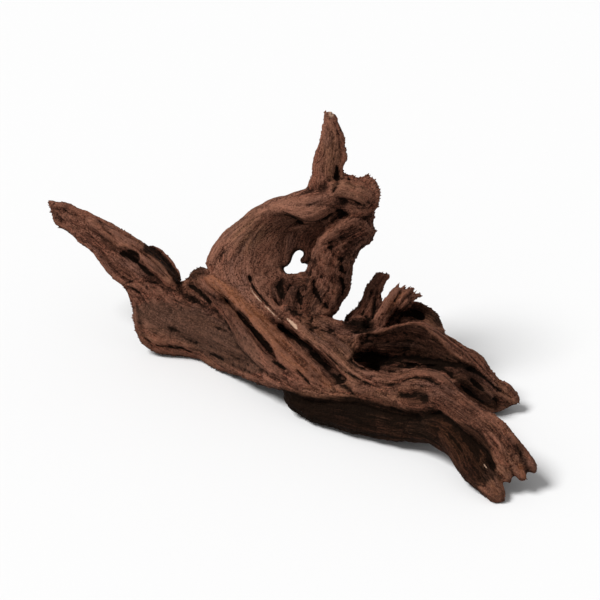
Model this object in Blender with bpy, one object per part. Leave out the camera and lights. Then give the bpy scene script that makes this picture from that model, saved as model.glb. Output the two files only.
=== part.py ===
"""Driftwood: a weathered root that lies on the ground, grown as one piece.

The form is drawn on a sketch plane that leans back LEAN from upright. A sketch point is
(across, up, toward) in millimetres: across runs to the right, up runs along the plane, and
toward comes out of it. The sketch is seen from an eye EYE_DISTANCE in front of SKETCH_AIM, so
a point keeps its place in the outline whatever its depth. Each limb, strand and sheet of the
root is a closed loft, the lofts are fused into one skin, and the hollows are cut from it.
"""

import math
from dataclasses import dataclass

import bmesh
import bpy
import numpy as np
from mathutils import Vector

NAME = "driftwood"

# Frame of the sketch
MILLIMETRE = 0.001
LEAN = math.radians(30.0)
EYE_DISTANCE = 1600.0
SKETCH_AIM = (0.0, 160.0, -90.0)
GROUND_UP = -3.0
ORIGIN_ACROSS = -0.0170
ORIGIN_BACK = 0.1579

# Fineness of the skin
SKIN_VOXEL = 0.0019
EVEN_VOXEL = 0.0018
STATION_STEP = 4.0
SECTION_SIDES = 20
SMOOTH_PASSES = 2
TARGET_TRIANGLES = 10400
FOOT_SNAP = 0.0004


def view_axes():
    """Return the sketch's right, up and toward directions in the part's frame."""
    right = np.array((1.0, 0.0, 0.0))
    up = np.array((0.0, math.sin(LEAN), math.cos(LEAN)))
    toward = np.array((0.0, -math.cos(LEAN), math.sin(LEAN)))
    return right, up, toward


def place(points):
    """Turn sketch points (across, up, toward) in millimetres into metres in the part's frame."""
    sketch = np.asarray(points, dtype=float).reshape(-1, 3)
    right, up, toward = view_axes()
    depth = sketch[:, 2] - SKETCH_AIM[2]
    nearness = (EYE_DISTANCE - depth) / EYE_DISTANCE
    across = (sketch[:, 0] - SKETCH_AIM[0]) * nearness
    rise = (sketch[:, 1] - SKETCH_AIM[1]) * nearness
    aim = (SKETCH_AIM[1] - GROUND_UP) * up + SKETCH_AIM[2] * toward
    lift = np.array((0.0, GROUND_UP * math.sin(LEAN), 0.0))
    spots = aim + lift + across[:, None] * right + rise[:, None] * up + depth[:, None] * toward
    return spots * MILLIMETRE - np.array((ORIGIN_ACROSS, ORIGIN_BACK, 0.0))


def run_lengths(points):
    """Return how far along a line of points each point lies, from 0 to 1."""
    steps = np.linalg.norm(np.diff(points, axis=0), axis=1)
    along = np.concatenate(([0.0], np.cumsum(steps)))
    return along / along[-1]


def even_values(values, count):
    """Spread values, given at even steps, over count stations, eased between them."""
    knots = np.linspace(0.0, 1.0, len(values))
    fine = np.interp(np.linspace(0.0, 1.0, count), knots, values)
    reach = max(1, count // (2 * max(1, len(values) - 1)))
    padded = np.pad(fine, reach, mode="edge")
    window = np.ones(2 * reach + 1) / (2 * reach + 1)
    eased = np.convolve(padded, window, mode="valid")
    eased[0], eased[-1] = fine[0], fine[-1]
    return eased


@dataclass(frozen=True)
class Band:
    """A limb or sheet between two edges that were read from its outline.

    The edges are lists of (across, up). depth gives both edges' toward at even steps along
    them, or the upper edge's where lower_depth gives the lower one's. thick is the half
    thickness.
    """

    upper: list
    lower: list
    depth: list
    thick: list
    lower_depth: list = None
    square: float = 0.85
    ends: tuple = (0.12, 0.12)
    flutes: float = 0.05

    def stations(self):
        """Return the section centres, half widths and half thicknesses along the band."""
        upper, lower = np.array(self.upper, float), np.array(self.lower, float)
        length = np.linalg.norm(np.diff((upper[0] + lower[0], upper[-1] + lower[-1]), axis=0)) / 2
        for edge in (upper, lower):
            length = max(length, np.linalg.norm(np.diff(edge, axis=0), axis=1).sum())
        count = max(6, int(length / STATION_STEP))
        along = np.linspace(0.0, 1.0, count)
        rails = []
        for edge, depth in ((upper, self.depth), (lower, self.lower_depth or self.depth)):
            lengths = run_lengths(edge)
            flat = [np.interp(along, lengths, edge[:, axis]) for axis in (0, 1)]
            rails.append(place(np.column_stack((*flat, even_values(depth, count)))))
        centre = (rails[0] + rails[1]) / 2
        width = (rails[0] - rails[1]) / 2
        return centre, width, even_values(self.thick, count) * MILLIMETRE


@dataclass(frozen=True)
class Strand:
    """A rounder limb or rope of wood: stations of (across, up, toward, half width, half
    thickness) along its middle line."""

    line: list
    square: float = 0.9
    ends: tuple = (0.1, 0.1)
    flutes: float = 0.07

    def stations(self):
        """Return the section centres, half widths and half thicknesses along the strand."""
        knots = np.array(self.line, float)
        length = np.linalg.norm(np.diff(knots[:, :3], axis=0), axis=1).sum()
        count = max(6, int(length / STATION_STEP))
        fine = curve_through(knots, count)
        centre = place(fine[:, :3])
        path = np.gradient(centre, axis=0)
        toward = view_axes()[2]
        width = np.cross(toward, path)
        width /= np.linalg.norm(width, axis=1)[:, None]
        return centre, width * fine[:, 3:4] * MILLIMETRE, fine[:, 4] * MILLIMETRE


def curve_through(knots, count):
    """Return count rows along a smooth curve through the rows of knots."""
    lengths = run_lengths(knots[:, :3])
    ends = np.vstack((2 * knots[0] - knots[1], knots, 2 * knots[-1] - knots[-2]))
    rows = []
    for along in np.linspace(0.0, 1.0, count):
        span = min(int(np.searchsorted(lengths, along, side="right")) - 1, len(knots) - 2)
        part = (along - lengths[span]) / (lengths[span + 1] - lengths[span])
        before, start, end, after = ends[span : span + 4]
        rows.append(
            0.5
            * (
                2 * start
                + (end - before) * part
                + (2 * before - 5 * start + 4 * end - after) * part**2
                + (3 * start - before - 3 * end + after) * part**3
            )
        )
    rows = np.array(rows)
    rows[:, 3:] = np.maximum(rows[:, 3:], 0.4)
    return rows


def loft(bm, limb, seed):
    """Add one limb to bm as a closed loft with fluted sides and rounded ends."""
    chance = np.random.default_rng(seed)
    centre, width, thick = limb.stations()
    count = len(centre)
    along = np.linspace(0.0, 1.0, count)
    path = np.gradient(centre, axis=0)
    normal = np.cross(path, width)
    normal /= np.linalg.norm(normal, axis=1)[:, None]
    start, end = limb.ends
    swell = np.ones(count)
    if start > 0:
        swell = np.minimum(swell, np.sqrt(1 - np.clip(1 - along / start, 0, 0.97) ** 2))
    if end > 0:
        swell = np.minimum(swell, np.sqrt(1 - np.clip(1 - (1 - along) / end, 0, 0.97) ** 2))
    angles = np.linspace(0.0, 2 * math.pi, SECTION_SIDES, endpoint=False)
    relief = np.zeros((count, SECTION_SIDES))
    for ribs in (3, 5, 7):
        phase = chance.uniform(0, 2 * math.pi)
        drift = chance.uniform(-2.5, 2.5)
        relief += np.cos(ribs * angles[None, :] + phase + drift * along[:, None])
    rings = []
    for row in range(count):
        ring = []
        for side, angle in enumerate(angles):
            across = math.copysign(abs(math.cos(angle)) ** limb.square, math.cos(angle))
            out = math.copysign(abs(math.sin(angle)) ** limb.square, math.sin(angle))
            scale = swell[row] * (1 + limb.flutes * relief[row, side] * abs(math.sin(angle)))
            spot = centre[row] + scale * (across * width[row] + out * thick[row] * normal[row])
            ring.append(bm.verts.new(spot))
        rings.append(ring)
    for one, two in zip(rings, rings[1:]):
        for side in range(SECTION_SIDES):
            after = (side + 1) % SECTION_SIDES
            bm.faces.new((one[side], one[after], two[after], two[side]))
    for ring, turned in ((rings[0], True), (rings[-1], False)):
        hub = bm.verts.new(sum((vert.co for vert in ring), Vector()) / SECTION_SIDES)
        for side in range(SECTION_SIDES):
            pair = (ring[side], ring[(side + 1) % SECTION_SIDES])
            bm.faces.new((*(reversed(pair) if turned else pair), hub))


def arm():
    """The long arm that reaches back to the left and ends broken off."""
    return [
        Band(
            upper=[(-201, 240.6), (-195.6, 239.2), (-188.6, 238.9), (-180.6, 235.3),
                   (-170, 231.3), (-159.6, 225.4), (-148.4, 220.2), (-138.8, 215),
                   (-124.2, 205.6), (-112, 195), (-102, 184.4), (-95, 174)],
            lower=[(-196.4, 220.6), (-192.6, 216.8), (-188, 214.8), (-178, 207.6), (-168, 200.8),
                   (-159.2, 191.2), (-150.8, 179.4), (-143.6, 173), (-138, 169), (-128, 160),
                   (-115, 152)],
            depth=[-205, -203, -201, -199, -197, -194],
            lower_depth=[-205, -202, -200, -198, -195, -192],
            thick=[6, 8, 10, 12, 13.5, 14, 13],
            ends=(0.0, 0.1),
        ),
        Strand([(-202, 240, -205, 1.8, 2.5), (-194, 235.6, -203, 3.4, 6), (-184, 231, -200, 6, 8)],
               ends=(0.0, 0.1)),
        Strand([(-198, 228, -204, 1.6, 3), (-193, 227, -202, 4, 6), (-184, 226, -200, 6, 9)]),
        Strand([(-173, 226, -190, 4, 6), (-159, 217, -187, 5, 8), (-144, 207, -184, 6, 9),
                (-132, 200, -182, 6, 9), (-118, 189, -181, 6, 9), (-106, 178, -180, 6, 8),
                (-96, 169, -178, 4, 6)]),
        Strand([(-125, 198, -201, 4, 5), (-117, 197, -204, 6.6, 6), (-109.8, 190, -205, 7, 7),
                (-103.2, 182, -203, 7, 7), (-98.4, 171, -198, 6, 7)]),
        Strand([(-180, 210, -197, 2.5, 4), (-166, 200.5, -194, 2.6, 5), (-158, 191, -191, 2.8, 5),
                (-150, 181, -189, 2.8, 5), (-142, 174.5, -187, 2.6, 5), (-134, 172, -185, 3, 5)]),
    ]


def slab():
    """The broad slab that stands on the ground on its lower edge."""
    return [
        Band(
            upper=[(-141, 171), (-139, 177), (-128, 179.4), (-117.6, 178.6), (-104.8, 171.6),
                   (-92, 168), (-81.5, 163.5), (-72, 156), (-62, 148.5), (-55, 139), (-49, 129),
                   (-40, 121), (-30, 112), (-18, 104), (-5, 96), (10, 89)],
            lower=[(-140.2, 168), (-136.2, 160), (-133, 150), (-132.2, 138), (-129.5, 128.5),
                   (-122.3, 122), (-115, 118.2), (-100, 115.4), (-90, 115.2), (-79.6, 113.3),
                   (-70, 108), (-60.4, 103.2), (-44, 98.4), (-28.7, 90.8), (-14.8, 88), (2, 82)],
            depth=[-184, -183, -181, -178, -172, -160, -142, -124, -108],
            lower_depth=[-190, -197, -200, -201.5, -200, -182, -156, -130, -104],
            thick=[7, 9, 10, 10.5, 11, 11, 10, 8],
            square=0.7,
        ),
        Strand([(-121, 124, -201, 3, 6), (-105, 121, -201, 4, 8), (-90, 121, -199, 5, 9),
                (-76, 118, -193, 5.5, 9), (-62, 112, -180, 5.5, 9), (-45, 104, -157, 5.5, 9),
                (-28, 97, -135, 6, 8), (-12, 92, -117, 5, 7), (4, 88, -106, 4, 6)]),
        Strand([(-104, 166, -188, 6, 7), (-88, 168, -183, 8, 8), (-74, 163, -175, 9, 9),
                (-60, 152, -168, 9, 9)]),
        Strand([(-93, 170, -184, 5, 6), (-86, 173, -181, 6.5, 7), (-78, 174, -176, 6.5, 7),
                (-70, 172, -168, 6, 7)]),
        Strand([(-86, 181, -164, 4, 7), (-77, 175, -158, 5, 8), (-68, 167.5, -151, 5, 9),
                (-60.5, 160.5, -147, 3.5, 7)]),
        Strand([(-88.4, 178.4, -181, 3, 5), (-82, 182, -180, 3.6, 4), (-76, 181, -172, 4.5, 5),
                (-70, 178, -164, 5, 6)]),
    ]


def ropes():
    """The ropes of wood that run from the arm down to the tongue."""
    return [
        Strand([(-86, 177, -170, 4, 6), (-76.7, 170, -164, 6, 8), (-67, 161, -160, 6.5, 9),
                (-57.5, 152, -153, 6.5, 9), (-51, 142, -146, 6.5, 9), (-45, 132, -139, 7, 9),
                (-38, 122, -131, 7.5, 9), (-30, 113, -124, 7, 8), (-18, 104, -115, 6, 7),
                (-6, 97, -108, 5, 6), (8, 91, -102, 5, 6), (20, 87, -98, 3.5, 5)]),
        Band(
            upper=[(-78, 185), (-64, 179), (-52, 171), (-42, 163), (-33, 153), (-27, 145),
                   (-20, 139.4), (-8, 127.4), (2.4, 119.4), (11.2, 111.4), (20, 99.4),
                   (27.2, 91.4), (34.4, 83)],
            lower=[(-80, 179), (-70, 170.5), (-60, 161), (-50, 151), (-40, 140.5), (-30, 130),
                   (-21, 118.5), (-16, 108), (-6, 100), (2, 94), (12, 88), (24, 84.3), (33.6, 82)],
            depth=[-150, -143, -135, -126, -118, -110, -103, -98, -93],
            thick=[6, 8, 9.5, 10.5, 11, 10, 8.5, 6, 2.5],
        ),
        Strand([(-30, 101, -131, 5, 8), (-10, 92, -116, 6, 8), (8, 86, -104, 6, 8),
                (28, 82.5, -96, 5, 7), (45, 81, -89, 5, 7), (60, 77.5, -82, 5, 7),
                (75, 73.5, -76, 5, 6), (90, 71, -71, 5, 6), (104, 71.5, -66, 5, 6),
                (112, 73, -62, 4, 5)]),
        Strand([(-14, 148, -120, 4, 6), (-2.4, 139, -115, 5, 7), (8, 130, -110, 5.5, 8),
                (20, 121, -104, 6, 8), (28, 113, -99, 6, 8), (36, 105.6, -94, 6, 8),
                (44, 99.2, -89, 6, 8), (56, 92.8, -82, 6, 8), (66, 88.8, -76, 6, 8),
                (80, 87, -69, 5, 7), (90, 90, -64, 4, 6)]),
        Strand([(0, 141, -118, 4, 6), (9.6, 134, -114, 5, 7), (22, 127, -108, 6, 8),
                (32, 120, -103, 6.5, 8), (42.4, 109, -97, 6.5, 8), (50, 101, -90, 6.5, 8),
                (60, 97, -84, 6.5, 8), (70, 95.5, -77, 6, 8), (80, 96, -71, 6, 8),
                (90, 100, -66, 6, 8), (101, 100, -61, 6, 8), (111, 97.5, -56, 5.5, 8),
                (120, 90, -51, 5, 7), (130, 80.5, -45, 5, 7), (142, 72, -39, 4.5, 6),
                (155, 64, -33, 4, 5)]),
        Strand([(28, 91, -93, 4, 6), (42, 89.5, -86, 5, 7), (55, 86.5, -80, 5, 7),
                (68, 83, -74, 5, 7), (80, 77.5, -69, 4.5, 7), (92, 73.5, -64, 4.5, 6),
                (104, 74, -59, 4.5, 6), (115, 77, -54, 5, 7), (126, 72, -48, 6, 8),
                (138, 64, -41, 7, 9), (150, 54, -33, 8, 9), (160, 44, -26, 8, 8),
                (168, 35, -21, 6, 6)]),
    ]


def front_limb():
    """The limb that comes forward to the right and ends in fingers and a thumb."""
    return [
        Band(
            upper=[(40, 104), (50, 102), (64, 100.5), (72, 98.8), (80, 99), (94.6, 104),
                   (112.8, 101.6), (124.8, 89), (140, 76.4), (153.6, 67.6), (166.4, 59.8),
                   (176, 47), (182.4, 39), (186, 34)],
            lower=[(40, 84), (50, 80), (62, 77), (75, 73), (88, 70), (100, 70), (112, 73),
                   (121, 66), (131, 58), (141, 50), (149, 42), (154, 35), (156, 28), (160, 22)],
            depth=[-92, -88, -82, -74, -66, -57, -46, -36, -29, -24, -21],
            lower_depth=[-84, -78, -72, -66, -59, -50, -38, -28, -22, -18, -16],
            thick=[8, 9, 10, 11, 12, 13, 12, 11, 10, 8, 6],
            square=0.8,
        ),
        Band(
            upper=[(172, 53), (182.8, 39.8), (188.6, 33.2), (191, 28.4), (191.6, 22.8)],
            lower=[(164, 42), (173, 33), (178.5, 26.6), (182.5, 21.8), (185.8, 20.2)],
            depth=[-27, -25, -23, -22], thick=[8, 7.5, 6.5, 5], ends=(0.1, 0.04),
        ),
        Band(
            upper=[(168, 42), (175.6, 32), (180.4, 25), (182.8, 19.2), (182.8, 14.6)],
            lower=[(156, 31), (163.5, 25.5), (170.6, 18.6), (174.8, 14.2), (179.6, 12.2)],
            depth=[-24, -21, -18, -17], thick=[7, 6.5, 5.5, 4], ends=(0.1, 0.04),
        ),
        Band(
            upper=[(160, 36), (165.6, 27), (169.2, 21), (171, 17), (170.2, 13.4)],
            lower=[(150, 30), (155, 23), (159.2, 20), (162.4, 16.4), (166.4, 11.6)],
            depth=[-23, -20, -17, -16], thick=[7, 6, 5, 4], ends=(0.1, 0.04),
        ),
        Band(
            upper=[(124, 66), (139, 52), (148, 40), (152, 30), (156, 22), (159.6, 18.2),
                   (160.8, 13.6), (164, 8), (166.2, 0.6)],
            lower=[(106, 58), (114, 42), (119.6, 35), (126, 24.6), (130, 17), (139.4, 10.2),
                   (147.8, 3), (155.6, -2.4), (162, -4)],
            depth=[-64, -57, -50, -44, -37, -30, -22, -17, -15],
            lower_depth=[-56, -47, -40, -34, -28, -22, -18, -16, -15.5],
            thick=[9, 10, 11, 11, 11, 10, 9, 8, 5], ends=(0.1, 0.14),
        ),
        Strand([(136, 50, -40, 7, 8), (147, 38, -34, 7, 8), (155, 28, -27, 6, 7),
                (160, 20, -23, 4, 5)]),
        Strand([(146, 14, -26, 4, 6), (152, 8, -20, 6, 7), (158, 2.6, -16, 6.4, 7),
                (161.8, -0.8, -14.5, 3.8, 5)]),
    ]


def belly():
    """The dark underside that hangs between the slab and the claw."""
    return [
        Band(
            upper=[(-15, 88), (0, 89), (20, 88), (40, 88), (60, 85), (80, 81), (95, 79),
                   (108, 77), (120, 70)],
            lower=[(-11.2, 78), (-6.4, 72.8), (8, 63), (24, 59.4), (40, 54.4), (54.4, 51.6),
                   (74.4, 48.2), (88, 47), (103, 46), (114, 42.4)],
            depth=[-121, -120, -115, -107, -99, -91, -84, -78, -70],
            lower_depth=[-110, -106, -97, -88, -82, -75, -69, -63, -55],
            thick=[7, 9, 10, 10, 10, 10, 9, 9, 8],
            square=0.75, ends=(0.03, 0.1),
        ),
        Strand([(84, 58, -71, 5, 8), (94, 57, -68, 7, 9), (104, 55, -64, 7, 9),
                (114, 50, -58, 6, 8)]),
    ]


def ring():
    """The wall that curls up and over to form the ring, with the bowl behind it."""
    return [
        Band(
            upper=[(-24, 141), (-34, 152), (-45, 161), (-58, 171), (-69, 179), (-75.4, 187),
                   (-75, 192.8), (-69.6, 203.8), (-62.4, 214), (-51, 222.4), (-40.6, 231.8),
                   (-24.6, 240.2), (-10.8, 243.8), (3, 250.6), (12, 256)],
            lower=[(-4, 142), (-12, 149), (-19, 157), (-22, 167), (-20.5, 178), (-18, 188),
                   (-17, 197), (-17, 205), (-13, 214), (-6, 221), (4, 226), (14, 230), (24, 235)],
            depth=[-121, -127, -134, -141, -148, -150, -146, -138, -130, -124, -119, -115, -112, -110],
            lower_depth=[-118, -123, -128, -131, -131, -131, -132, -130, -124, -117, -111, -107],
            thick=[6, 8, 9, 9, 9, 9, 9, 9, 9, 10, 10, 10],
            square=0.75,
        ),
        Strand([(-14, 147, -121, 3, 5), (-27, 157, -126, 4.5, 7), (-36, 167, -131, 5, 8),
                (-41, 180, -134, 5, 8), (-41, 195, -134, 5, 8), (-37, 209, -131, 5, 8),
                (-27, 220, -126, 5, 8), (-14, 227, -120, 5, 7), (0, 232, -114, 5, 7)]),
        Strand([(-66, 182, -148, 4, 7), (-68, 191, -147, 5, 8), (-62.5, 202, -141, 5, 8),
                (-55, 210.5, -134, 5, 8), (-45, 219, -129, 5, 8), (-34, 226.5, -124, 5, 8),
                (-21, 232.5, -119, 5, 8), (-7, 236, -114, 5, 8), (5, 241, -110, 5, 8)]),
        Strand([(-56, 176, -144, 4, 7), (-57, 188, -143, 5, 8), (-53, 200, -138, 5, 8),
                (-46, 209, -132, 4, 7), (-36, 217, -128, 3, 6)]),
        Band(
            upper=[(-26, 168), (-22, 196), (-18, 222), (-6, 234), (10, 236)],
            lower=[(6, 164), (9, 176), (10, 192), (14, 204), (26, 222)],
            depth=[-134, -140, -142, -138, -130], thick=[6, 6, 6, 7, 8], square=0.6,
        ),
        Band(
            upper=[(-28, 237), (-16, 240), (-4, 243), (8, 246), (20, 248), (34, 250)],
            lower=[(-24, 229), (-12, 229), (-4, 225), (4, 221.4), (14, 221.6), (26, 229.5),
                   (36, 237)],
            depth=[-118, -111, -104, -100, -98, -99], thick=[6, 8, 9, 9, 8, 7],
        ),
        Strand([(16, 222, -116, 4, 6), (24, 228, -112, 5, 7), (34, 235, -108, 5, 7),
                (42, 240, -106, 4, 6)]),
        Strand([(-44, 148, -170, 7, 7), (-58, 162, -168, 8, 8), (-64, 178, -161, 7, 8),
                (-59, 194, -156, 7, 8), (-49, 209, -148, 8, 8),
                (-34, 221, -139, 8, 8), (-16, 229, -131, 8, 8), (4, 236, -124, 8, 8)]),
        Strand([(-22, 136, -162, 8, 8), (-36, 158, -155, 9, 8), (-37, 178, -151, 8, 8),
                (-34, 194, -147, 7, 7), (-26, 208, -143, 7, 7), (-12, 218, -140, 7, 7),
                (6, 224, -134, 7, 8), (24, 226, -128, 7, 8)]),
    ]


def horn():
    """The horn that stands up from the ring, and the ragged crown beside it."""
    return [
        Band(
            upper=[(2, 248), (8, 255), (9.6, 260), (9, 266), (10.4, 275), (13.4, 280.3),
                   (14.4, 285.4), (17, 290), (17.8, 302.6), (19, 310.6)],
            lower=[(38, 244), (36, 258), (33.6, 264), (33.8, 268), (38.4, 273.6), (37.8, 278),
                   (36.9, 284.4), (35.6, 292.4), (31.6, 301), (29.4, 308)],
            depth=[-110, -106, -103, -101, -99, -97, -96, -95], thick=[11, 11, 11, 10, 9, 7.5, 6, 4],
            ends=(0.1, 0.0),
        ),
        Strand([(21, 306, -95, 1.8, 3), (24.5, 309.4, -94, 2, 3), (27, 308, -94, 2, 3)]),
        Band(
            upper=[(24, 250), (36.8, 261.6), (41.3, 260.8), (47.4, 256.6), (54.1, 260.8),
                   (56.2, 255.4), (62, 254.4)],
            lower=[(28, 234), (38, 230), (48, 226), (56, 227.8), (59.5, 231.2), (61.8, 236.2),
                   (62.8, 243)],
            depth=[-106, -103, -103, -106, -110], thick=[9, 10, 10, 9, 6], ends=(0.1, 0.06),
        ),
        Strand([(22, 246, -99, 5, 6), (31, 249, -93, 8, 8), (41, 247, -94, 9, 9),
                (50, 243, -99, 9, 9), (57, 238, -107, 5, 6)]),
        Strand([(48, 252, -106, 4, 5), (53, 258, -108, 2.8, 3.6), (54.8, 261.6, -109, 1.3, 2)],
               ends=(0.1, 0.0)),
    ]


def column():
    """The hollowed column at the right of the ring, down to the floor."""
    return [
        Band(
            upper=[(34, 240), (24, 224), (16, 210), (10, 200), (7.6, 190), (5, 183), (-2, 176),
                   (-10, 166), (-15, 156), (-17, 146)],
            lower=[(61.8, 240), (59.4, 230), (59.4, 219), (58.4, 211), (55.8, 206.6),
                   (46.2, 197.8), (42, 189), (40.2, 178), (40.4, 170), (36.2, 161), (31.4, 152.6),
                   (28.6, 145.6), (28, 140)],
            depth=[-112, -114, -117, -120, -122, -124, -125, -124, -122],
            thick=[10, 11, 12, 12, 12, 12, 12, 12, 11], square=0.8,
        ),
        Strand([(30, 222, -108, 5, 7), (42, 222, -106, 7, 8), (52, 218, -108, 6, 7),
                (63, 216.4, -110, 1.9, 2.6)], ends=(0.1, 0.0)),
        Strand([(10, 206, -112, 4, 6), (22, 214, -108, 4.5, 7), (36, 222, -104, 5, 7),
                (50, 228, -104, 5, 7)]),
        Strand([(17, 200, -112, 4, 6), (15, 188, -112, 4.5, 6), (16, 176, -114, 4.5, 6),
                (10, 166, -115, 4, 6), (11, 154, -115, 4, 6), (20, 146, -114, 4, 6)]),
        Strand([(-12, 178, -122, 4, 6), (-2, 176, -118, 4.5, 6), (9, 174, -116, 4, 6)]),
        Strand([(-16, 164, -124, 4, 6), (-8, 160, -120, 5, 6), (-8, 152, -118, 5, 6)]),
        Strand([(26, 178, -116, 4, 6), (30, 168, -115, 4, 6), (28, 158, -116, 3.5, 6),
                (24, 148, -116, 4, 6)]),
    ]


def shelf():
    """The rough shelf between the column and the wing."""
    return [
        Band(
            upper=[(-22, 154), (-6, 148), (10, 147), (26, 145.6), (38, 144.6), (50, 138),
                   (60, 136), (72, 137)],
            lower=[(-16, 140), (-2, 132), (12, 125), (24, 116), (34, 108), (44, 112), (54, 118),
                   (68, 122)],
            depth=[-131, -126, -121, -117, -114, -114, -124],
            lower_depth=[-122, -116, -110, -106, -104, -108, -128],
            thick=[9, 9, 9, 9, 8, 7, 6], square=0.75,
        ),
        Strand([(30, 112, -104, 4, 6), (37, 119, -102, 5, 6), (42, 126, -101, 5, 6),
                (49, 132, -102, 5, 6), (60, 134.5, -103, 4, 5), (72, 136.5, -104, 3, 5)]),
        Strand([(38, 141, -124, 5, 6), (46, 141, -122, 7.5, 8), (54, 139, -120, 4, 6)]),
    ]


def stubs():
    """The two broken stubs behind the wing, and the hump behind them."""
    return [
        Band(
            upper=[(33, 138), (36, 147), (40.6, 151), (46.4, 153.6), (48.4, 157.6), (50.6, 165.6),
                   (52.8, 171.6), (57.8, 175.4), (59.4, 179.4), (62.8, 182.4)],
            lower=[(62, 130), (67, 142), (66, 152), (64.8, 158), (65.6, 165.6), (67.8, 172.2),
                   (70, 176), (71.6, 179.6)],
            depth=[-132, -137, -140, -141, -142, -143], thick=[9, 8.5, 8, 7, 6.5, 5],
            ends=(0.05, 0.0),
        ),
        Strand([(58, 134, -124, 6, 7), (65, 145, -126, 6, 7), (72, 156, -129, 6, 7),
                (77.6, 165, -131, 5, 6), (82.4, 170.6, -132, 2.6, 3.4)], ends=(0.1, 0.02)),
        Strand([(76, 156, -129, 5, 6), (81, 163, -130, 4.6, 5), (86, 166.4, -132, 3, 3.6),
                (92, 169.6, -133, 1.7, 2.2)], ends=(0.1, 0.0)),
        Strand([(78, 150, -131, 6, 7), (84, 157, -130, 6, 6), (90, 161.4, -131, 3, 3.4),
                (97, 164.2, -133, 1.2, 1.8)], ends=(0.1, 0.0)),
        Band(
            upper=[(70, 152), (82, 158), (93, 159), (100, 155.6), (107.2, 150.8), (112, 144.8),
                   (114.4, 137.6), (119.2, 131.6)],
            lower=[(66, 136), (76, 134), (86, 133), (94, 130), (100, 126), (106, 122)],
            depth=[-146, -150, -151, -150, -147, -142], lower_depth=[-140, -142, -142, -140, -136, -132],
            thick=[8, 9, 10, 10, 9, 7], square=0.8,
        ),
    ]


def wing():
    """The wing: a lit back, a thin front ridge and a hollow face, over the rear limb."""
    return [
        Band(
            upper=[(62, 138), (78, 142), (93, 143), (105, 140), (113, 133.6), (120.6, 129),
                   (133, 122.6), (145, 114.8), (149.6, 102.6), (156.8, 92.6), (168.8, 88.4),
                   (176.4, 80.6), (175.6, 76)],
            lower=[(54, 133), (64, 134), (72, 137.4), (86.4, 140.6), (95.2, 141), (100, 138.4),
                   (108, 132), (124, 117.6), (138.4, 108), (148, 96), (157, 87), (165, 78),
                   (170, 73.6)],
            depth=[-116, -122, -125, -126, -127, -128, -128, -128, -126, -124],
            lower_depth=[-106, -103, -101, -100, -101, -103, -107, -111, -114, -117],
            thick=[6, 7, 7, 7, 7, 7, 8, 8, 7, 6], square=0.8,
            ends=(0.12, 0.03),
        ),
        Band(
            upper=[(48, 132), (64, 133.6), (72, 137), (86.4, 140), (95.2, 140), (108, 131),
                   (124, 117), (138.4, 108)],
            lower=[(42, 121), (56, 118.6), (68, 113), (80, 112), (92, 111), (104, 111),
                   (120, 110), (134, 105.5)],
            depth=[-107, -104, -102, -101, -101, -102, -104],
            lower_depth=[-118, -123, -128, -130, -127, -120, -110],
            thick=[5, 5.5, 6, 6, 6, 6, 5], square=0.7,
        ),
        Band(
            upper=[(58, 112), (80, 112), (100, 111), (116, 111), (130, 108), (144, 102),
                   (156, 94), (168, 84), (174, 78.4)],
            lower=[(66, 92), (84, 92), (104, 92), (118, 88), (128, 81.5), (140, 74.4),
                   (150, 69.2), (156, 69.4), (166, 73.4), (171, 76)],
            depth=[-124, -126, -124, -120, -116, -116, -118, -119],
            lower_depth=[-112, -110, -108, -108, -113, -119, -122, -124],
            thick=[8, 10, 12, 13, 12, 11, 9, 6], square=0.8,
        ),
        Strand([(118, 95, -104, 4, 6), (128, 96, -102, 5, 7), (138, 92, -103, 5, 7),
                (147, 85, -106, 5, 7), (154, 79, -110, 4, 6)]),
    ]


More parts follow.
